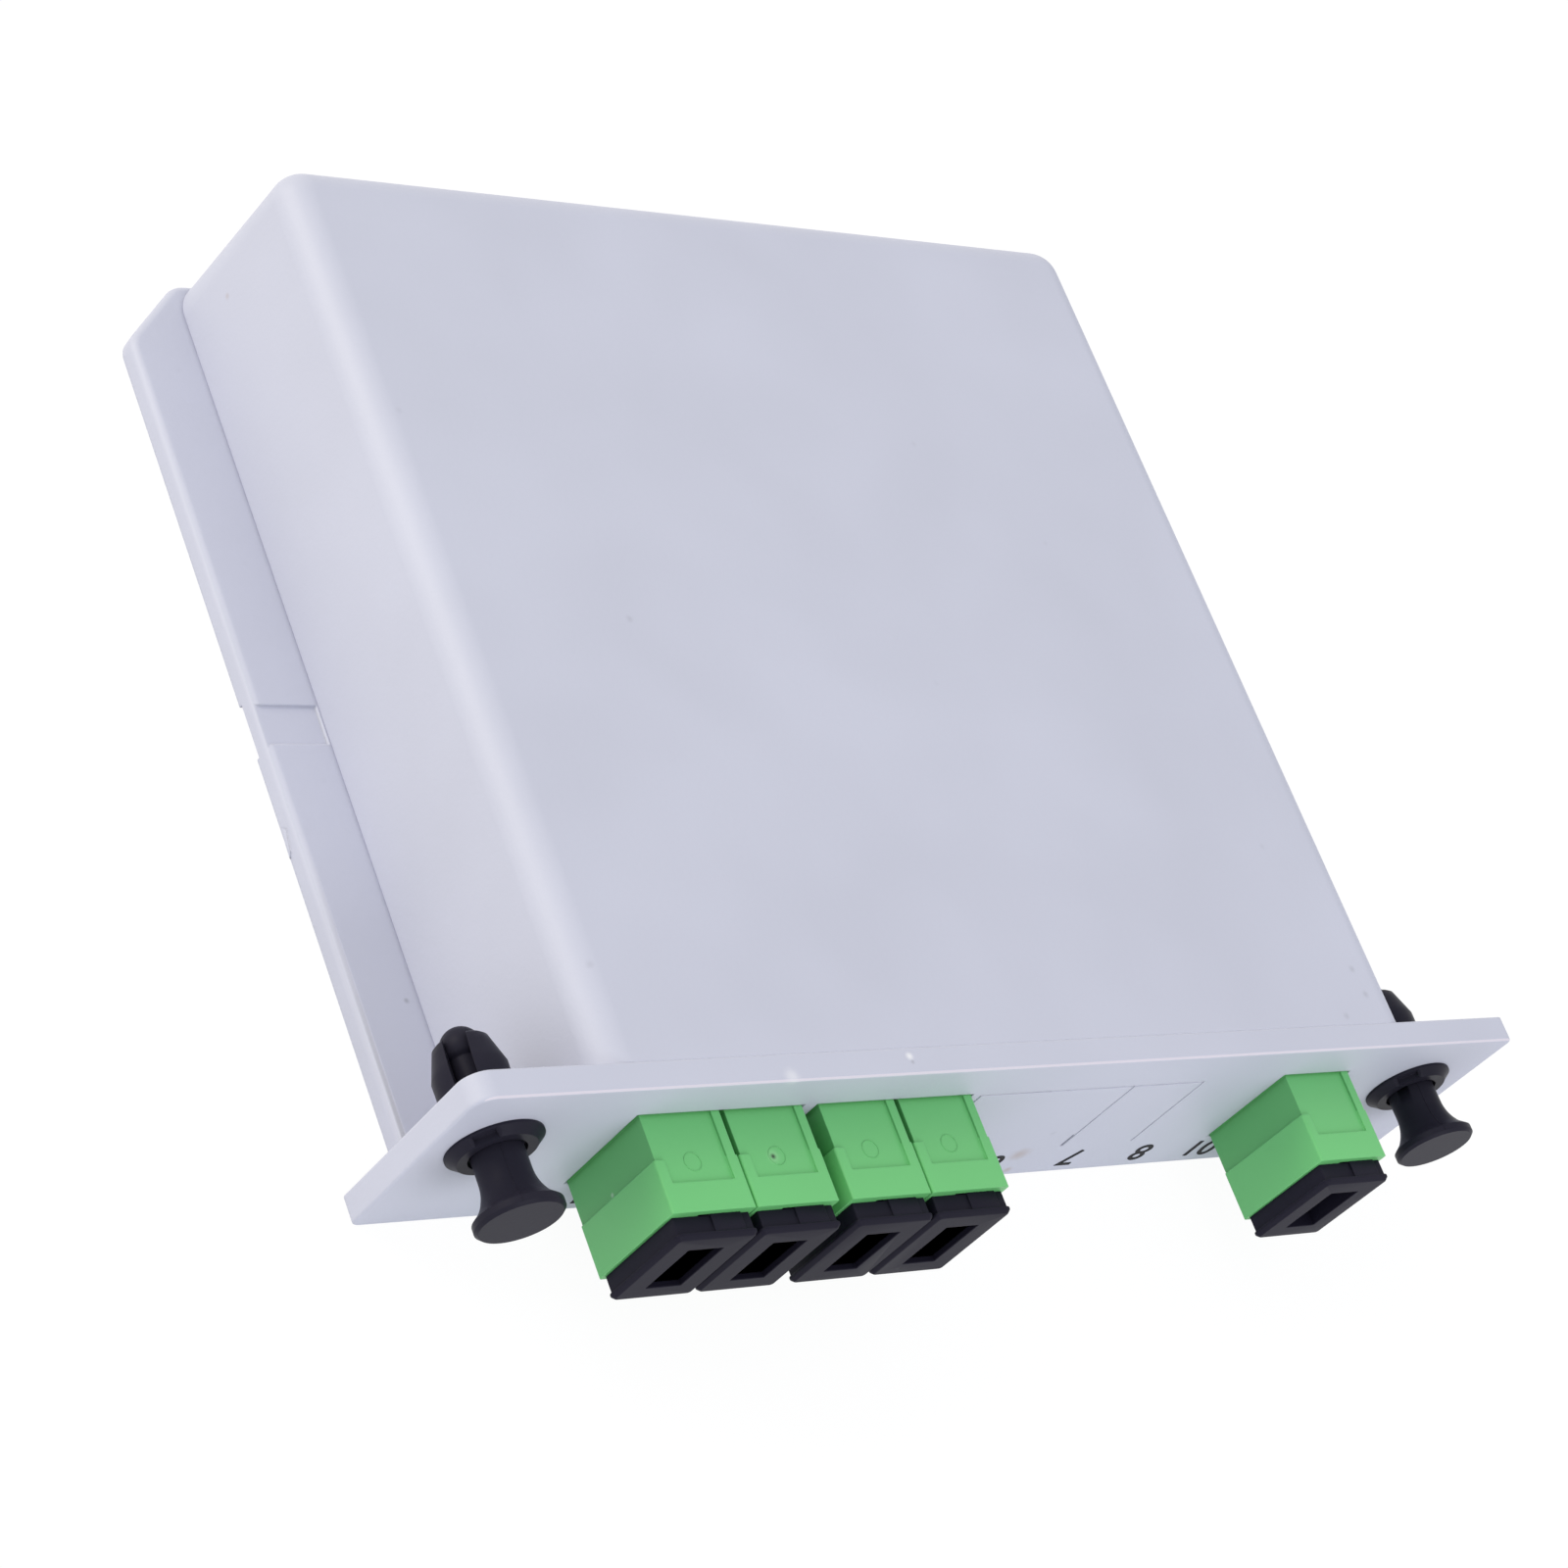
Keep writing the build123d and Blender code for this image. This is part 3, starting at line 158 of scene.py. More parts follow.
# %% Table
TABLE_REACH = 1.6
TABLE_WHITE_SHARE = 0.90
TABLE_GLOW = 1.045
table_mesh = bpy.data.meshes.new("table")
CORNER_SIGNS = ((-1, -1), (1, -1), (1, 1), (-1, 1))
table_corners = [(x * TABLE_REACH, y * TABLE_REACH, 0.0) for x, y in CORNER_SIGNS]
table_mesh.from_pydata(table_corners, [], [(0, 1, 2, 3)])
table = bpy.data.objects.new("table", table_mesh)
bpy.context.scene.collection.objects.link(table)
table_material, table_tree, table_output = new_material("white_table")
table_paper = new_node(table_tree, "ShaderNodeBsdfDiffuse", Color=(0.82, 0.82, 0.83, 1))
table_glow = new_node(table_tree, "ShaderNodeEmission", Strength=TABLE_GLOW)
table_seen = seen_white(table_tree)
table_share = new_node(table_tree, "ShaderNodeMath", operation="MULTIPLY")
table_share.inputs[1].default_value = TABLE_WHITE_SHARE
table_mix = table_tree.nodes.new("ShaderNodeMixShader")
link_chain(table_tree, [
    ((table_seen, "Value"), (table_share, 0)),
    ((table_share, "Value"), (table_mix, 0)),
    ((table_paper, "BSDF"), (table_mix, 1)),
    ((table_glow, "Emission"), (table_mix, 2)),
    ((table_mix, "Shader"), (table_output, "Surface")),
])
table_mesh.materials.append(table_material)

# %% Lamps
def soft_lamp(name, place, aim, size, power, colour=(1, 1, 1)):
    """A square area lamp that faces a point and stays out of the picture itself."""
    data = bpy.data.lights.new(name, "AREA")
    data.color = colour
    data.shape = "SQUARE"
    data.size = size
    data.energy = power
    lamp = bpy.data.objects.new(name, data)
    bpy.context.scene.collection.objects.link(lamp)
    lamp.visible_camera = False
    lamp.location = place
    lamp.rotation_mode = "QUATERNION"
    lamp.rotation_quaternion = (Vector(aim) - Vector(place)).to_track_quat("-Z", "Y")
    return lamp


LAMP_AIM = (0, 0.05, 0.01)
LAMP_SIZE = 0.6
WARM_WHITE = (1.0, 0.94, 0.80)
soft_lamp("lamp_back_left", (-0.70, 0.60, 0.40), LAMP_AIM, LAMP_SIZE, 4.8, WARM_WHITE)
soft_lamp("lamp_front", (0.0, -0.90, 0.45), LAMP_AIM, LAMP_SIZE, 2.7)

# %% [markdown]
# Moulded plastic is never one flat colour. Its skin has a fine spark-eroded grain, the
# colour drifts a little over a large face, and a few specks of dust lie on it. Its edges
# are rounded, and a painted highlight makes them paler. A few places are stained or chipped,
# some spots carry a painted highlight or a painted shadow, and some faces carry painted
# highlight or painted shade. Each effect could be written into each material. Here it is a
# node group with named inputs, so that every plastic uses it with its own values.

# %% Helper for shader groups
def new_group(name, inputs, outputs):
    """A shader group with named sockets: each a (name, kind, default) or (name, kind)."""
    group = bpy.data.node_groups.new(name, "ShaderNodeTree")
    for label, kind, default in inputs:
        socket = group.interface.new_socket(label, in_out="INPUT", socket_type=kind)
        socket.default_value = default
    for label, kind in outputs:
        group.interface.new_socket(label, in_out="OUTPUT", socket_type=kind)
    return group, group.nodes.new("NodeGroupInput"), group.nodes.new("NodeGroupOutput")


# %% Moulded skin group
def make_moulded_skin():
    """Grain height, slow colour drift and rare specks, all read from Object coordinates."""
    group, given, result = new_group(
        "moulded_skin",
        [
            ("Colour", "NodeSocketColor", (0.6, 0.6, 0.6, 1)),
            ("Speck Colour", "NodeSocketColor", (0.3, 0.3, 0.3, 1)),
            ("Drift", "NodeSocketFloat", 0.03),
            ("Grain Scale", "NodeSocketFloat", 2500.0),
            ("Speck Scale", "NodeSocketFloat", 170.0),
            ("Speck Size", "NodeSocketFloat", 0.06),
        ],
        [
            ("Colour", "NodeSocketColor"),
            ("Height", "NodeSocketFloat"),
            ("Rough Shift", "NodeSocketFloat"),
        ],
    )
    place = group.nodes.new("ShaderNodeTexCoord")
    grain = new_node(group, "ShaderNodeTexNoise", Detail=3.0, Roughness=0.6)
    drift = new_node(group, "ShaderNodeTexNoise", Scale=45.0, Detail=2.0, Roughness=0.5)
    drift_span = new_node(group, "ShaderNodeMapRange")
    drift_span.inputs["From Min"].default_value = 0.3
    drift_span.inputs["From Max"].default_value = 0.7
    drift_low = new_node(group, "ShaderNodeMath", operation="SUBTRACT")
    drift_low.inputs[0].default_value = 1.0
    drift_high = new_node(group, "ShaderNodeMath", operation="ADD")
    drift_high.inputs[0].default_value = 1.0
    tint = new_node(group, "ShaderNodeMix", data_type="RGBA", blend_type="MULTIPLY")
    tint.inputs["Factor"].default_value = 1.0
    cells = new_node(group, "ShaderNodeTexVoronoi", feature="F1", Randomness=1.0)
    near = new_node(group, "ShaderNodeMapRange", interpolation_type="SMOOTHSTEP")
    near.inputs["To Min"].default_value = 1.0
    near.inputs["To Max"].default_value = 0.0
    gate = new_node(group, "ShaderNodeMath", operation="GREATER_THAN")
    gate.inputs[1].default_value = 0.72
    split = group.nodes.new("ShaderNodeSeparateColor")
    both = new_node(group, "ShaderNodeMath", operation="MULTIPLY")
    fade = new_node(group, "ShaderNodeMath", operation="MULTIPLY")
    paint = new_node(group, "ShaderNodeMix", data_type="RGBA")
    shift = new_node(group, "ShaderNodeMapRange")
    shift.inputs["To Min"].default_value = -0.06
    shift.inputs["To Max"].default_value = 0.06
    link_chain(group, [
        ((place, "Object"), (grain, "Vector")),
        ((place, "Object"), (drift, "Vector")),
        ((place, "Object"), (cells, "Vector")),
        ((given, "Grain Scale"), (grain, "Scale")),
        ((given, "Speck Scale"), (cells, "Scale")),
        ((given, "Drift"), (drift_low, 1)),
        ((given, "Drift"), (drift_high, 1)),
        ((drift, "Fac"), (drift_span, "Value")),
        ((drift_low, "Value"), (drift_span, "To Min")),
        ((drift_high, "Value"), (drift_span, "To Max")),
        ((cells, "Distance"), (near, "Value")),
        ((given, "Speck Size"), (near, "From Max")),
        ((cells, "Color"), (split, "Color")),
        ((split, "Red"), (gate, 0)),
        ((near, "Result"), (both, 0)),
        ((gate, "Value"), (both, 1)),
        ((both, "Value"), (fade, 0)),
        ((split, "Green"), (fade, 1)),
        ((grain, "Fac"), (result, "Height")),
        ((drift, "Fac"), (shift, "Value")),
        ((shift, "Result"), (result, "Rough Shift")),
    ])
    group.links.new(given.outputs["Colour"], tint.inputs[6])
    group.links.new(drift_span.outputs["Result"], tint.inputs[7])
    group.links.new(fade.outputs["Value"], paint.inputs["Factor"])
    group.links.new(tint.outputs[2], paint.inputs[6])
    group.links.new(given.outputs["Speck Colour"], paint.inputs[7])
    group.links.new(paint.outputs[2], result.inputs["Colour"])
    return group


moulded_skin = make_moulded_skin()
print("group", moulded_skin.name, "has", len(moulded_skin.nodes), "nodes")


# %% [markdown]
# An edge can be rounded in the mesh or only in the shading. The Bevel node does the second:
# it gives the normal that a rounded edge would have. Where that normal turns away from the
# real one there is an edge, so the difference also makes a mask for a painted highlight
# along the edges.

# %% Soft edge group
def make_soft_edge():
    """A normal that rounds every edge a little, and a mask that is high along the edges."""
    group, given, result = new_group(
        "soft_edge",
        [("Radius", "NodeSocketFloat", 0.2 * MM), ("Gain", "NodeSocketFloat", 4.0)],
        [("Normal", "NodeSocketVector"), ("Mask", "NodeSocketFloat")],
    )
    geometry = group.nodes.new("ShaderNodeNewGeometry")
    rounded = new_node(group, "ShaderNodeBevel", samples=6)
    agree = new_node(group, "ShaderNodeVectorMath", operation="DOT_PRODUCT")
    turned = new_node(group, "ShaderNodeMath", operation="SUBTRACT")
    turned.inputs[0].default_value = 1.0
    strong = new_node(group, "ShaderNodeMath", operation="MULTIPLY", use_clamp=True)
    link_chain(group, [
        ((given, "Radius"), (rounded, "Radius")),
        ((rounded, "Normal"), (result, "Normal")),
        ((rounded, "Normal"), (agree, 0)),
        ((geometry, "Normal"), (agree, 1)),
        ((agree, "Value"), (turned, 1)),
        ((turned, "Value"), (strong, 0)),
        ((given, "Gain"), (strong, 1)),
        ((strong, "Value"), (result, "Mask")),
    ])
    return group


soft_edge = make_soft_edge()
print("group", soft_edge.name, "has", len(soft_edge.nodes), "nodes")


# %% [markdown]
# Stains and chips sit at one place, and so do a few painted highlights and shadows; painted
# highlight and shade also lie on faces that look one way. Both could be painted as an image.
# Two small masks say the same with a few numbers: how far a point lies from a place, and
# which way a face looks at which depth.

# %% Soft spot group
def make_soft_spot():
    """A blurred round mask about one place on a surface."""
    group, given, result = new_group(
        "soft_spot",
        [
            ("Place", "NodeSocketVector", (0, 0, 0)),
            ("Radius", "NodeSocketFloat", 1.0 * MM),
            ("Strength", "NodeSocketFloat", 1.0),
        ],
        [("Mask", "NodeSocketFloat")],
    )
    place = group.nodes.new("ShaderNodeTexCoord")
    ragged = new_node(group, "ShaderNodeTexNoise", Scale=1400.0, Detail=2.0)
    apart = new_node(group, "ShaderNodeVectorMath", operation="DISTANCE")
    wobble = new_node(group, "ShaderNodeMapRange")
    wobble.inputs["To Min"].default_value = 0.7
    wobble.inputs["To Max"].default_value = 1.3
    uneven = new_node(group, "ShaderNodeMath", operation="MULTIPLY")
    fall = new_node(group, "ShaderNodeMapRange", interpolation_type="SMOOTHSTEP")
    fall.inputs["To Max"].default_value = 0.0
    link_chain(group, [
        ((place, "Object"), (apart, 0)),
        ((place, "Object"), (ragged, "Vector")),
        ((given, "Place"), (apart, 1)),
        ((ragged, "Fac"), (wobble, "Value")),
        ((apart, "Value"), (uneven, 0)),
        ((wobble, "Result"), (uneven, 1)),
        ((uneven, "Value"), (fall, "Value")),
        ((given, "Radius"), (fall, "From Max")),
        ((given, "Strength"), (fall, "To Min")),
        ((fall, "Result"), (result, "Mask")),
    ])
    return group


soft_spot = make_soft_spot()
print("group", soft_spot.name, "has", len(soft_spot.nodes), "nodes")


# %% Face band group
def make_face_band():
    """A mask for the faces that look one way and lie between two depths along Y."""
    group, given, result = new_group(
        "face_band",
        [
            ("Facing", "NodeSocketVector", (0, -1, 0)),
            ("Agreement", "NodeSocketFloat", 0.7),
            ("Front", "NodeSocketFloat", 0.0),
            ("Back", "NodeSocketFloat", 1.0 * MM),
            ("Strength", "NodeSocketFloat", 1.0),
        ],
        [("Mask", "NodeSocketFloat")],
    )
    place = group.nodes.new("ShaderNodeTexCoord")
    split = group.nodes.new("ShaderNodeSeparateXYZ")
    behind = new_node(group, "ShaderNodeMath", operation="GREATER_THAN")
    before = new_node(group, "ShaderNodeMath", operation="LESS_THAN")
    between = new_node(group, "ShaderNodeMath", operation="MULTIPLY")
    agree = new_node(group, "ShaderNodeVectorMath", operation="DOT_PRODUCT")
    facing = new_node(group, "ShaderNodeMath", operation="GREATER_THAN")
    both = new_node(group, "ShaderNodeMath", operation="MULTIPLY")
    scaled = new_node(group, "ShaderNodeMath", operation="MULTIPLY")
    link_chain(group, [
        ((place, "Object"), (split, "Vector")),
        ((split, "Y"), (behind, 0)),
        ((given, "Front"), (behind, 1)),
        ((split, "Y"), (before, 0)),
        ((given, "Back"), (before, 1)),
        ((behind, "Value"), (between, 0)),
        ((before, "Value"), (between, 1)),
        ((place, "Normal"), (agree, 0)),
        ((given, "Facing"), (agree, 1)),
        ((agree, "Value"), (facing, 0)),
        ((given, "Agreement"), (facing, 1)),
        ((between, "Value"), (both, 0)),
        ((facing, "Value"), (both, 1)),
        ((both, "Value"), (scaled, 0)),
        ((given, "Strength"), (scaled, 1)),
        ((scaled, "Value"), (result, "Mask")),
    ])
    return group


face_band = make_face_band()
print("group", face_band.name, "has", len(face_band.nodes), "nodes")


# %% [markdown]
# One function makes every plastic: the skin group feeds the colour and the bump, and the
# shader's own sockets hold what is the same all over, such as its gloss. The painted edge
# highlight, then the bands of painted highlight and shade, and then the stains, chips and
# painted spots of light and shadow are laid over the colour one after another.

# %% Plastics
# Colour gain and lift of the painted highlight along the edges.
EDGE_HIGHLIGHT_GAIN, EDGE_HIGHLIGHT_LIFT = 1.25, 0.04
BUMP_DISTANCE = 0.2 * MM


def plastic(
    name, colour, rough, speck, drift=0.03, grain=2500.0, bump=0.02, gloss=0.5,
    speck_size=0.06, edge=0.0, edge_radius=0.12 * MM, bands=(), stains_and_painted_spots=(),
):
    """A moulded plastic with grain, drift, specks, a painted edge highlight, painted highlight and shade on
    some faces, and stains, chips and painted spots of light and shadow.
    """
    material, tree, output = new_material(name)
    shader = new_node(tree, "ShaderNodeBsdfPrincipled")
    shader.inputs["Specular IOR Level"].default_value = gloss
    skin = new_node(tree, "ShaderNodeGroup", node_tree=moulded_skin)
    skin.inputs["Colour"].default_value = (*colour, 1)
    skin.inputs["Speck Colour"].default_value = (*speck, 1)
    skin.inputs["Drift"].default_value = drift
    skin.inputs["Grain Scale"].default_value = grain
    skin.inputs["Speck Size"].default_value = speck_size
    # The soft_edge normal rounds the edges in the shading; its mask lays a painted highlight along them, as
    # strong as edge says.
    edge_normal_and_highlight = new_node(tree, "ShaderNodeGroup", node_tree=soft_edge)
    edge_normal_and_highlight.inputs["Radius"].default_value = edge_radius
    edge_highlight = new_node(tree, "ShaderNodeMix", data_type="RGBA")
    highlight_tone = [min(1.0, c * EDGE_HIGHLIGHT_GAIN + EDGE_HIGHLIGHT_LIFT) for c in colour]
    edge_highlight.inputs[7].default_value = (*highlight_tone, 1)
    amount = new_node(tree, "ShaderNodeMath", operation="MULTIPLY")
    amount.inputs[1].default_value = edge
    roughness = new_node(tree, "ShaderNodeMath", operation="ADD")
    roughness.inputs[1].default_value = rough
    relief = new_node(tree, "ShaderNodeBump", Strength=bump, Distance=BUMP_DISTANCE)
    link_chain(tree, [
        ((edge_normal_and_highlight, "Mask"), (amount, 0)),
        ((amount, "Value"), (edge_highlight, "Factor")),
        ((skin, "Rough Shift"), (roughness, 0)),
        ((roughness, "Value"), (shader, "Roughness")),
        ((skin, "Height"), (relief, "Height")),
        ((edge_normal_and_highlight, "Normal"), (relief, "Normal")),
        ((relief, "Normal"), (shader, "Normal")),
        ((shader, "BSDF"), (output, "Surface")),
    ])
    tree.links.new(skin.outputs["Colour"], edge_highlight.inputs[6])
    last = edge_highlight.outputs[2]
    band_names = ("Facing", "Agreement", "Front", "Back", "Strength")
    spot_names = ("Place", "Radius", "Strength")
    marks = [(face_band, band_names, band) for band in bands]
    marks += [(soft_spot, spot_names, spot_mark) for spot_mark in stains_and_painted_spots]
    for mark_group, names, (*values, tone) in marks:
        mark = new_node(tree, "ShaderNodeGroup", node_tree=mark_group, **dict(zip(names, values)))
        toned = new_node(tree, "ShaderNodeMix", data_type="RGBA")
        toned.inputs[7].default_value = (*tone, 1)
        tree.links.new(mark.outputs["Mask"], toned.inputs["Factor"])
        tree.links.new(last, toned.inputs[6])
        last = toned.outputs[2]
    tree.links.new(last, shader.inputs["Base Color"])
    return material


# %% Stains, chips, painted spots of light and shadow, and painted light on faces
BROWN_DIRT = (0.42, 0.33, 0.30)
# The grey serves grey dirt and one painted shadow; the pale serves pale chips and one painted highlight.
GREY_DIRT_AND_SHADOW = (0.36, 0.37, 0.43)
PALE_CHIP_AND_HIGHLIGHT = (0.90, 0.90, 0.93)
PALE_GREEN = (0.42, 0.78, 0.42)
RAIL_TOP = 2.2 * MM
CASE_STAINS_AND_PAINTED_SPOTS = [
    ((10.5 * MM, PANEL_FRONT_Y, 4.5 * MM), 1.7 * MM, 0.55, BROWN_DIRT),
    ((11.4 * MM, PANEL_FRONT_Y, 1.2 * MM), 0.8 * MM, 0.60, BROWN_DIRT),
    ((45.9 * MM, 6.3 * MM, PANEL_TOP_Z), 0.6 * MM, 0.40, GREY_DIRT_AND_SHADOW),
    ((46.2 * MM, 3.4 * MM, PANEL_TOP_Z), 0.6 * MM, 0.40, GREY_DIRT_AND_SHADOW),
    ((42.1 * MM, 1.0 * MM, PANEL_TOP_Z), 0.6 * MM, 0.35, GREY_DIRT_AND_SHADOW),
    ((-16.6 * MM, -0.85 * MM, PANEL_TOP_Z), 0.60 * MM, 0.85, PALE_CHIP_AND_HIGHLIGHT),
    # Painted shadow: a dark spot beside the pale chip above.
    ((-16.5 * MM, -1.45 * MM, PANEL_TOP_Z), 0.35 * MM, 0.60, GREY_DIRT_AND_SHADOW),
    # Painted highlight: a paler spot on a small bulge of the panel's top front edge.
    ((-31.0 * MM, -2.25 * MM, PANEL_TOP_Z), 1.2 * MM, 0.45, PALE_CHIP_AND_HIGHLIGHT),
    ((-52.8 * MM, 18.3 * MM, RAIL_TOP), 0.40 * MM, 0.85, GREY_DIRT_AND_SHADOW),
    ((-51.3 * MM, 92.9 * MM, 9.5 * MM), 0.5 * MM, 0.35, BROWN_DIRT),
]
FORWARD, FORWARD_AND_UP = (0, -1, 0), (0, -0.707, 0.707)
LEFTWARD, RIGHTWARD = (-1, 0, 0), (1, 0, 0)
CLOSE_AGREEMENT, LOOSE_AGREEMENT = 0.9, 0.7
# Painted light on the panel: the floors of the shallow score lines get painted light, those of the deep ones
# painted shade, and the rounded strip along the top front edge a painted highlight.
SCORE_FLOOR_Y = -2.56 * MM
DEEP_SCORE_FLOOR_Y = -2.35 * MM
DEPTH_MARGIN = 0.005 * MM
PAINTED_SCORE_LIGHT_TONE, PAINTED_DEEP_SCORE_SHADE = (0.92, 0.92, 0.96), (0.16, 0.14, 0.15)
PAINTED_EDGE_HIGHLIGHT_TONE = (0.77, 0.72, 0.80)
CASE_PAINTED_LIGHT_BANDS = [
    (FORWARD, CLOSE_AGREEMENT, floor_y - DEPTH_MARGIN, floor_y + DEPTH_MARGIN, 1.0, tone)
    for floor_y, tone in ((SCORE_FLOOR_Y, PAINTED_SCORE_LIGHT_TONE), (DEEP_SCORE_FLOOR_Y, PAINTED_DEEP_SCORE_SHADE))
] + [
    (FORWARD_AND_UP, CLOSE_AGREEMENT, PANEL_FRONT_Y, PANEL_FRONT_Y / 2, 0.9, PAINTED_EDGE_HIGHLIGHT_TONE),
]
# Painted shade on the adapters' relieved sides behind the front block.
RELIEF_FRONT_Y = -7.1 * MM
PAINTED_RELIEF_SHADE = (0.085, 0.370, 0.110)
GREEN_PAINTED_SHADE_BANDS = [
    (side, LOOSE_AGREEMENT, RELIEF_FRONT_Y, PANEL_FRONT_Y, 0.6, PAINTED_RELIEF_SHADE)
    for side in (LEFTWARD, RIGHTWARD)
]
DENT_PLACE = (-31.85 * MM, -7.44 * MM, 18.0 * MM)
# A paler ring round a dent on an adapter's top, then painted shade in the dent at its middle.
GREEN_MARKS = [
    (DENT_PLACE, 1.0 * MM, 0.45, PALE_GREEN),
    (DENT_PLACE, 0.42 * MM, 1.0, (0.01, 0.03, 0.01)),
    ((-45.2 * MM, -6.75 * MM, 10.9 * MM), 0.45 * MM, 0.9, PALE_CHIP_AND_HIGHLIGHT),
]
print("stains:", len(CASE_STAINS_AND_PAINTED_SPOTS) + len(GREEN_MARKS), "toned bands:", len(CASE_PAINTED_LIGHT_BANDS) + len(GREEN_PAINTED_SHADE_BANDS))

# %% Finishes of the plastics
FINISHES = {
    "grey_case": plastic(
        "grey_case", (0.573, 0.587, 0.695), 0.52, (0.49, 0.50, 0.59),
        bump=0.10, grain=1800.0, speck_size=0.10, edge=1.0, edge_radius=0.30 * MM,
        bands=CASE_PAINTED_LIGHT_BANDS, stains_and_painted_spots=CASE_STAINS_AND_PAINTED_SPOTS,
    ),
    "green_adapter": plastic(
        "green_adapter", (0.160, 0.575, 0.190), 0.42, (0.35, 0.62, 0.36),
        drift=0.04, bump=0.03, edge=0.9, edge_radius=0.20 * MM, bands=GREEN_PAINTED_SHADE_BANDS, stains_and_painted_spots=GREEN_MARKS,
    ),
    "black_plug": plastic(
        "black_plug", (0.012, 0.011, 0.022), 0.52, (0.06, 0.06, 0.07),
        drift=0.10, bump=0.05, gloss=0.10, edge=0.4,
    ),
    "black_latch": plastic(
        "black_latch", (0.020, 0.019, 0.030), 0.38, (0.06, 0.06, 0.07),
        drift=0.12, bump=0.04, gloss=0.055,
    ),
    "holder_white": plastic("holder_white", (0.74, 0.74, 0.71), 0.45, (0.5, 0.5, 0.5)),
    "boot_rubber": plastic("boot_rubber", (0.08, 0.38, 0.11), 0.70, (0.2, 0.4, 0.22), bump=0.05),
    "fibre_white": plastic("fibre_white", (0.78, 0.78, 0.76), 0.38, (0.6, 0.6, 0.6)),
    "white_ceramic": plastic("white_ceramic", (0.86, 0.85, 0.81), 0.14, (0.8, 0.8, 0.76), bump=0.0),
}


# %% Steel
def brushed_steel(name):
    """Steel drawn along its length: fine lines in roughness and a light bump."""
    material, tree, output = new_material(name)
    shader = new_node(tree, "ShaderNodeBsdfPrincipled", Metallic=1.0)
    place = tree.nodes.new("ShaderNodeTexCoord")
    stretch = tree.nodes.new("ShaderNodeMapping")
    stretch.inputs["Scale"].default_value = (60.0, 3000.0, 3000.0)
    lines = new_node(tree, "ShaderNodeTexNoise", Scale=1.0, Detail=2.0)
    rough = new_node(tree, "ShaderNodeMapRange")
    rough.inputs["To Min"].default_value = 0.28
    rough.inputs["To Max"].default_value = 0.46
    tone = new_node(tree, "ShaderNodeMix", data_type="RGBA")
    tone.inputs[6].default_value = (0.52, 0.52, 0.53, 1)
    tone.inputs[7].default_value = (0.66, 0.66, 0.67, 1)
    relief = new_node(tree, "ShaderNodeBump", Strength=0.05, Distance=0.0001)
    link_chain(tree, [
        ((place, "Object"), (stretch, "Vector")),
        ((stretch, "Vector"), (lines, "Vector")),
        ((lines, "Fac"), (rough, "Value")),
        ((lines, "Fac"), (tone, "Factor")),
        ((rough, "Result"), (shader, "Roughness")),
        ((lines, "Fac"), (relief, "Height")),
        ((relief, "Normal"), (shader, "Normal")),
        ((shader, "BSDF"), (output, "Surface")),
    ])
    tree.links.new(tone.outputs[2], shader.inputs["Base Color"])
    return material


FINISHES["module_steel"] = brushed_steel("module_steel")
print("finishes:", sorted(FINISHES))

# %% [markdown]
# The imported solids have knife-sharp edges and a face for every triangle. Real moulded edges
# have a small radius that catches a line of light. A copy of a solid is welded, its smooth
# stretches are shaded smooth, and a bevel rounds only the edges that are truly sharp.

# %% Dress the solids
SLOT_OF = {row["node"]: row["material_slot"] for row in frame["record"]["subparts"]}
BODIES = frame["record"]["behaviour"]["bodies"]
BODY_OF = {node: body for body, nodes in BODIES.items() for node in nodes}
WELD = 1e-6
FLAT_ANGLE = math.radians(0.2)
SMOOTH_ANGLE = math.radians(28)


def finished_object(name, mesh, body, finish):
    """Put a finished mesh in the scene, with its material, slot and body."""
    mesh.materials.clear()
    mesh.materials.append(finish)
    piece = bpy.data.objects.new(name, mesh)
    bpy.context.scene.collection.objects.link(piece)
    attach(piece, body)
    return piece


def applied_mesh(source):
    """The mesh of an object with its modifiers applied. The object is then removed."""
    graph = bpy.context.evaluated_depsgraph_get()
    mesh = bpy.data.meshes.new_from_object(source.evaluated_get(graph))
    bpy.data.objects.remove(source)
    return mesh


def welded_copy(node):
    """A welded copy of a solid, its tangent triangles smooth and its true edges sharp."""
    mesh = bpy.data.meshes.new(node + "_copy")
    shape = bmesh.new()
    shape.from_mesh(frame["nodes"][node].data)
    bmesh.ops.remove_doubles(shape, verts=shape.verts, dist=WELD)
    bmesh.ops.dissolve_degenerate(shape, edges=shape.edges, dist=WELD)
    bmesh.ops.dissolve_limit(shape, angle_limit=FLAT_ANGLE, verts=shape.verts, edges=shape.edges)
    shape.to_mesh(mesh)
    shape.free()
    mesh.shade_smooth()
    mesh.set_sharp_from_angle(angle=SMOOTH_ANGLE)
    return mesh


def round_sharp_edges(mesh, low, high, radius):
    """Round the sharp edges of a mesh that lie inside one box."""
    shape = bmesh.new()
    shape.from_mesh(mesh)
    inside = [v for v in shape.verts if all(low[i] <= v.co[i] <= high[i] for i in range(3))]
    chosen = set(inside)
    edges = [
        e for e in shape.edges
        if all(v in chosen for v in e.verts)
        and len(e.link_faces) == 2 and e.calc_face_angle(0) > SMOOTH_ANGLE
    ]
    bmesh.ops.bevel(shape, geom=edges, offset=radius, segments=2, affect="EDGES", clamp_overlap=True)
    print(mesh.name, "rounds", len(edges), "edges")
    shape.to_mesh(mesh)
    shape.free()
    mesh.shade_smooth()
    mesh.set_sharp_from_angle(angle=SMOOTH_ANGLE)


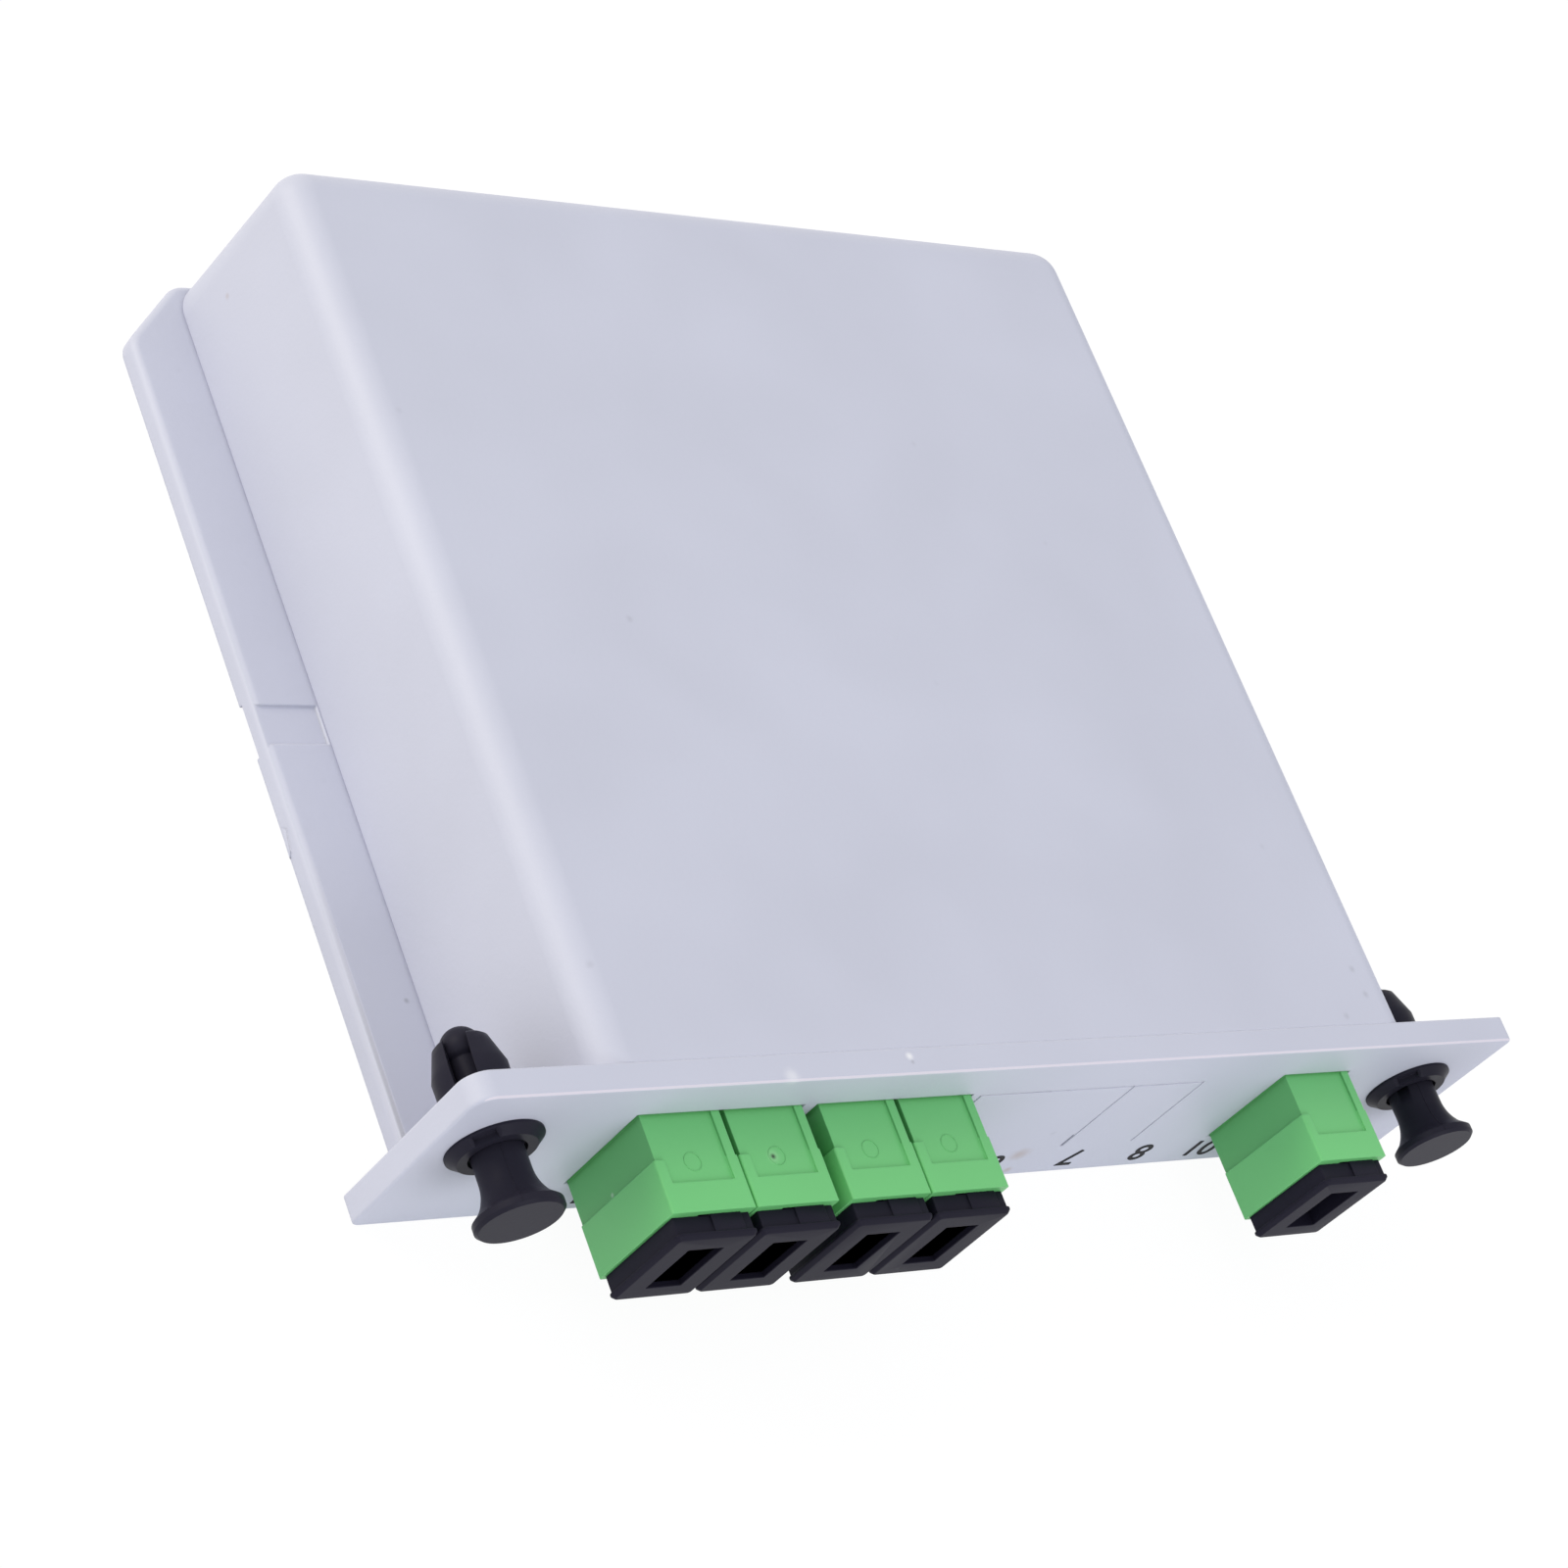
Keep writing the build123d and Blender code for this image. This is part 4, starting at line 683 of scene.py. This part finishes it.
def dressed(node, radius, rounded_zones=()):
    """A solid with rounded edges, standing for its node."""
    source_mesh = welded_copy(node)
    for zone in rounded_zones:
        round_sharp_edges(source_mesh, *zone)
    source = bpy.data.objects.new(node + "_source", source_mesh)
    bpy.context.scene.collection.objects.link(source)
    if radius:
        bevel = source.modifiers.new("edges", "BEVEL")
        bevel.width = radius
        bevel.segments = 2
        bevel.limit_method = "ANGLE"
        bevel.angle_limit = SMOOTH_ANGLE
        bevel.harden_normals = True
        bevel.use_clamp_overlap = True
    else:
        flat = source.modifiers.new("flat_faces", "WEIGHTED_NORMAL")
        flat.keep_sharp = True
    mesh = applied_mesh(source)
    slot = SLOT_OF[node]
    piece = finished_object(node + "_dressed", mesh, BODY_OF[node], FINISHES[slot])
    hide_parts(node)
    return piece


EDGE_RADIUS = {"adapter": 0.12 * MM, "dust_plug": 0.10 * MM}
for port in PORTS:
    for kind, radius in EDGE_RADIUS.items():
        piece = dressed(f"{port}_{kind}", radius)
        print(piece.name, len(piece.data.polygons), "faces")
DETENT_FRONT, DETENT_BACK = 45.8 * MM, 50.3 * MM
RAIL_INNER, RAIL_OUTER = 51.6 * MM, 58.2 * MM
DETENT_ROUND = 0.13 * MM
above, below = RAIL_TOP + 0.05 * MM, RAIL_TOP - 0.05 * MM
detent_zones = [
    ((-RAIL_OUTER, DETENT_FRONT, below), (-RAIL_INNER, DETENT_BACK, above), DETENT_ROUND),
    ((RAIL_INNER, DETENT_FRONT, below), (RAIL_OUTER, DETENT_BACK, above), DETENT_ROUND),
]
for node, zones in (("base_tray", detent_zones), ("cover_shell", ())):
    piece = dressed(node, 0, zones)
    print(piece.name, len(piece.data.polygons), "faces")
for side in SIDES:
    for kind in ("latch_grommet", "latch_pin"):
        dressed(f"{side}_{kind}", 0)

# %% Finish every other solid
for name, node in frame["nodes"].items():
    node.data.materials.clear()
    node.data.materials.append(FINISHES[SLOT_OF[name]])
print("finished", len(frame["nodes"]), "solids")

# %% [markdown]
# Each port has a number printed under it. The ink is a thin layer of black on the panel,
# and the print is upside down while the cassette lies this way up. A small tree turns a
# string into flat letters with a little thickness, so one tree serves every number.

# %% Ink
def ink(name):
    """Printed ink: nearly black, a little uneven where the panel's grain shows through."""
    material, tree, output = new_material(name)
    shader = new_node(tree, "ShaderNodeBsdfPrincipled", Roughness=0.55)
    shader.inputs["Specular IOR Level"].default_value = 0.08
    place = tree.nodes.new("ShaderNodeTexCoord")
    patchy = new_node(tree, "ShaderNodeTexNoise", Scale=3500.0, Detail=2.0)
    tone = new_node(tree, "ShaderNodeMix", data_type="RGBA")
    tone.inputs[6].default_value = (0.010, 0.010, 0.012, 1)
    tone.inputs[7].default_value = (0.035, 0.035, 0.040, 1)
    link_chain(tree, [
        ((place, "Object"), (patchy, "Vector")),
        ((patchy, "Fac"), (tone, "Factor")),
        ((shader, "BSDF"), (output, "Surface")),
    ])
    tree.links.new(tone.outputs[2], shader.inputs["Base Color"])
    return material


port_ink = ink("port_ink")


# %% Number tree
def group_input(tree, label, kind, default):
    """Add a named input to a Geometry Nodes tree and give its identifier."""
    socket = tree.interface.new_socket(label, in_out="INPUT", socket_type=kind)
    socket.default_value = default
    return socket.identifier


def make_number_tree():
    """Text to filled letters with a little thickness, and a fine bead that makes them bolder."""
    tree = bpy.data.node_groups.new("printed_number", "GeometryNodeTree")
    tree.interface.new_socket("Geometry", in_out="OUTPUT", socket_type="NodeSocketGeometry")
    ids = {
        "text": group_input(tree, "Text", "NodeSocketString", "0"),
        "size": group_input(tree, "Size", "NodeSocketFloat", 3.0 * MM),
        "depth": group_input(tree, "Thickness", "NodeSocketFloat", 0.02 * MM),
        "bold": group_input(tree, "Bold", "NodeSocketFloat", 0.05 * MM),
    }
    given = tree.nodes.new("NodeGroupInput")
    result = tree.nodes.new("NodeGroupOutput")
    letters = tree.nodes.new("GeometryNodeStringToCurves")
    letters.align_x = "CENTER"
    letters.align_y = "MIDDLE"
    realize = tree.nodes.new("GeometryNodeRealizeInstances")
    fill = tree.nodes.new("GeometryNodeFillCurve")
    extrude = tree.nodes.new("GeometryNodeExtrudeMesh")
    extrude.inputs["Individual"].default_value = False
    underside = tree.nodes.new("GeometryNodeFlipFaces")
    join = tree.nodes.new("GeometryNodeJoinGeometry")
    merge = tree.nodes.new("GeometryNodeMergeByDistance")
    merge.inputs["Distance"].default_value = WELD
    section = tree.nodes.new("GeometryNodeCurvePrimitiveCircle")
    section.inputs["Resolution"].default_value = 6
    outline = tree.nodes.new("GeometryNodeCurveToMesh")
    together = tree.nodes.new("GeometryNodeJoinGeometry")
    paint = tree.nodes.new("GeometryNodeSetMaterial")
    paint.inputs["Material"].default_value = port_ink
    link_chain(tree, [
        ((given, "Bold"), (section, "Radius")),
        ((realize, "Geometry"), (outline, "Curve")),
        ((section, "Curve"), (outline, "Profile Curve")),
        ((given, "Text"), (letters, "String")),
        ((given, "Size"), (letters, "Size")),
        ((letters, "Curve Instances"), (realize, "Geometry")),
        ((realize, "Geometry"), (fill, "Curve")),
        ((fill, "Mesh"), (extrude, "Mesh")),
        ((fill, "Mesh"), (underside, "Mesh")),
        ((given, "Thickness"), (extrude, "Offset Scale")),
        ((extrude, "Mesh"), (join, "Geometry")),
        ((underside, "Mesh"), (join, "Geometry")),
        ((join, "Geometry"), (merge, "Geometry")),
        ((outline, "Mesh"), (together, "Geometry")),
        ((merge, "Geometry"), (together, "Geometry")),
        ((together, "Geometry"), (paint, "Geometry")),
        ((paint, "Geometry"), (result, "Geometry")),
    ])
    return tree, ids


def tree_mesh(name, tree, values):
    """Run a Geometry Nodes tree once, and keep its result as a plain mesh."""
    carrier = bpy.data.objects.new(name + "_carrier", bpy.data.meshes.new(name + "_empty"))
    bpy.context.scene.collection.objects.link(carrier)
    modifier = carrier.modifiers.new("tree", "NODES")
    modifier.node_group = tree
    for identifier, value in values.items():
        modifier[identifier] = value
    return applied_mesh(carrier)


def merged_mesh(name, placed):
    """One mesh from several (mesh, matrix) pairs."""
    shape = bmesh.new()
    for mesh, place in placed:
        mesh.transform(place)
        shape.from_mesh(mesh)
    result = bpy.data.meshes.new(name)
    shape.to_mesh(result)
    shape.free()
    return result


# %% Print the numbers
number_tree, number_ids = make_number_tree()
NUMBER_SIZE = 4.5 * MM
NUMBER_Z = 3.1 * MM
INK_THICKNESS = 0.02 * MM
INK_BEAD = 0.06 * MM
NUMBER_PLACES = {
    "1": -41.8, "2": -32.3, "3": -21.4, "4": -11.9, "5": -1.8,
    "6": 8.1, "7": 18.6, "8": 28.2, "01": 36.8,
}
UPSIDE_DOWN_ON_FRONT = Matrix(((-1, 0, 0), (0, 0, -1), (0, -1, 0)))
placed_numbers = []
for text, x in NUMBER_PLACES.items():
    values = {
        number_ids["text"]: text, number_ids["size"]: NUMBER_SIZE,
        number_ids["depth"]: INK_THICKNESS, number_ids["bold"]: INK_BEAD,
    }
    place = Matrix.Translation((x * MM, PANEL_FRONT_Y, NUMBER_Z)) @ UPSIDE_DOWN_ON_FRONT.to_4x4()
    placed_numbers.append((tree_mesh("number_" + text, number_tree, values), place))
number_mesh = merged_mesh("port_numbers", placed_numbers)
numbers = finished_object("port_numbers", number_mesh, "cassette", port_ink)
print("numbers:", len(placed_numbers), "faces:", len(numbers.data.polygons))

# %% [markdown]
# The mould leaves its own marks. A pin that pushes the adapter out of its mould leaves a
# fine ring, and where the two halves of the plunger's mould meet, a thin line runs along
# the neck. The ring is a circle swept round a circle. The line reads the neck's own shape
# with rays, so that it follows every curve of it.

# %% Ring tree
def make_ring_tree():
    """A thin wire bent to a circle."""
    tree = bpy.data.node_groups.new("fine_ring", "GeometryNodeTree")
    tree.interface.new_socket("Geometry", in_out="OUTPUT", socket_type="NodeSocketGeometry")
    ids = {
        "radius": group_input(tree, "Radius", "NodeSocketFloat", 0.9 * MM),
        "wire": group_input(tree, "Wire", "NodeSocketFloat", 0.05 * MM),
    }
    given = tree.nodes.new("NodeGroupInput")
    result = tree.nodes.new("NodeGroupOutput")
    circle = tree.nodes.new("GeometryNodeCurvePrimitiveCircle")
    circle.inputs["Resolution"].default_value = 48
    section = tree.nodes.new("GeometryNodeCurvePrimitiveCircle")
    section.inputs["Resolution"].default_value = 8
    sweep = tree.nodes.new("GeometryNodeCurveToMesh")
    smooth = tree.nodes.new("GeometryNodeSetShadeSmooth")
    realize = tree.nodes.new("GeometryNodeRealizeInstances")
    paint = tree.nodes.new("GeometryNodeSetMaterial")
    paint.inputs["Material"].default_value = FINISHES["green_adapter"]
    link_chain(tree, [
        ((given, "Radius"), (circle, "Radius")),
        ((given, "Wire"), (section, "Radius")),
        ((circle, "Curve"), (sweep, "Curve")),
        ((section, "Curve"), (sweep, "Profile Curve")),
        ((sweep, "Mesh"), (smooth, "Geometry")),
        ((smooth, "Geometry"), (realize, "Geometry")),
        ((realize, "Geometry"), (paint, "Geometry")),
        ((paint, "Geometry"), (result, "Geometry")),
    ])
    return tree, ids


ring_tree, ring_ids = make_ring_tree()
RECESS_DEPTH = 0.25 * MM
LEDGE_HEIGHT = 0.8 * MM
RING_OFF_MIDDLE = -0.35 * MM
RING_BEHIND_FRONT = 4.9 * MM
RING_RADIUS = 0.9 * MM
RING_WIRE = 0.05 * MM
placed_rings = []
for port in PORTS[:-1]:
    low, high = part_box(f"{port}_adapter")
    ring_z = high.z - LEDGE_HEIGHT - RECESS_DEPTH
    spot = ((low.x + high.x) / 2 + RING_OFF_MIDDLE, low.y + RING_BEHIND_FRONT, ring_z)
    values = {ring_ids["radius"]: RING_RADIUS, ring_ids["wire"]: RING_WIRE}
    placed_rings.append((tree_mesh(port + "_ring", ring_tree, values), Matrix.Translation(spot)))
ring_mesh = merged_mesh("mould_pin_rings", placed_rings)
finished_object("mould_pin_rings", ring_mesh, "cassette", FINISHES["green_adapter"])
print("rings:", len(placed_rings), "at height", round(ring_z, 5))


# %% Mould line on the plungers
LINE_ANGLE = math.radians(117)
LINE_HALF_WIDTH = 0.10 * MM
LINE_RISE = 0.05 * MM
LINE_STEPS = 40
LINE_MARGIN = 0.35 * MM


def mould_line(side):
    """A low three-sided ridge that runs along one plunger's neck and knob."""
    node = f"{side}_latch_pin"
    low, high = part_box(node)
    axis_x, axis_z = (low.x + high.x) / 2, (low.z + high.z) / 2
    grommet_low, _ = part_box(f"{side}_latch_grommet")
    shape = bmesh.new()
    shape.from_mesh(frame["nodes"][node].data)
    surface = BVHTree.FromBMesh(shape)
    shape.free()
    outward = Vector((math.cos(LINE_ANGLE), 0, math.sin(LINE_ANGLE)))
    aside = outward.cross(Vector((0, 1, 0)))
    ridge = bmesh.new()
    rows = []
    start, end = low.y + LINE_MARGIN, grommet_low.y
    for step in range(LINE_STEPS + 1):
        middle = Vector((axis_x, start + (end - start) * step / LINE_STEPS, axis_z))
        hit, _, _, _ = surface.ray_cast(middle + outward * (high.x - low.x), -outward)
        foot = hit - outward * LINE_RISE
        corners = (foot - aside * LINE_HALF_WIDTH, hit + outward * LINE_RISE, foot + aside * LINE_HALF_WIDTH)
        rows.append([ridge.verts.new(corner) for corner in corners])
    for here, there in zip(rows, rows[1:]):
        for edge in range(3):
            after = (edge + 1) % 3
            ridge.faces.new((here[edge], here[after], there[after], there[edge]))
    ridge.faces.new(rows[0])
    ridge.faces.new(reversed(rows[-1]))
    bmesh.ops.recalc_face_normals(ridge, faces=ridge.faces)
    mesh = bpy.data.meshes.new(f"{side}_mould_line")
    ridge.to_mesh(mesh)
    ridge.free()
    finish = FINISHES["black_latch"]
    return finished_object(f"{side}_mould_line", mesh, BODY_OF[node], finish)


for side in SIDES:
    print(mould_line(side).name, "has", LINE_STEPS, "steps")
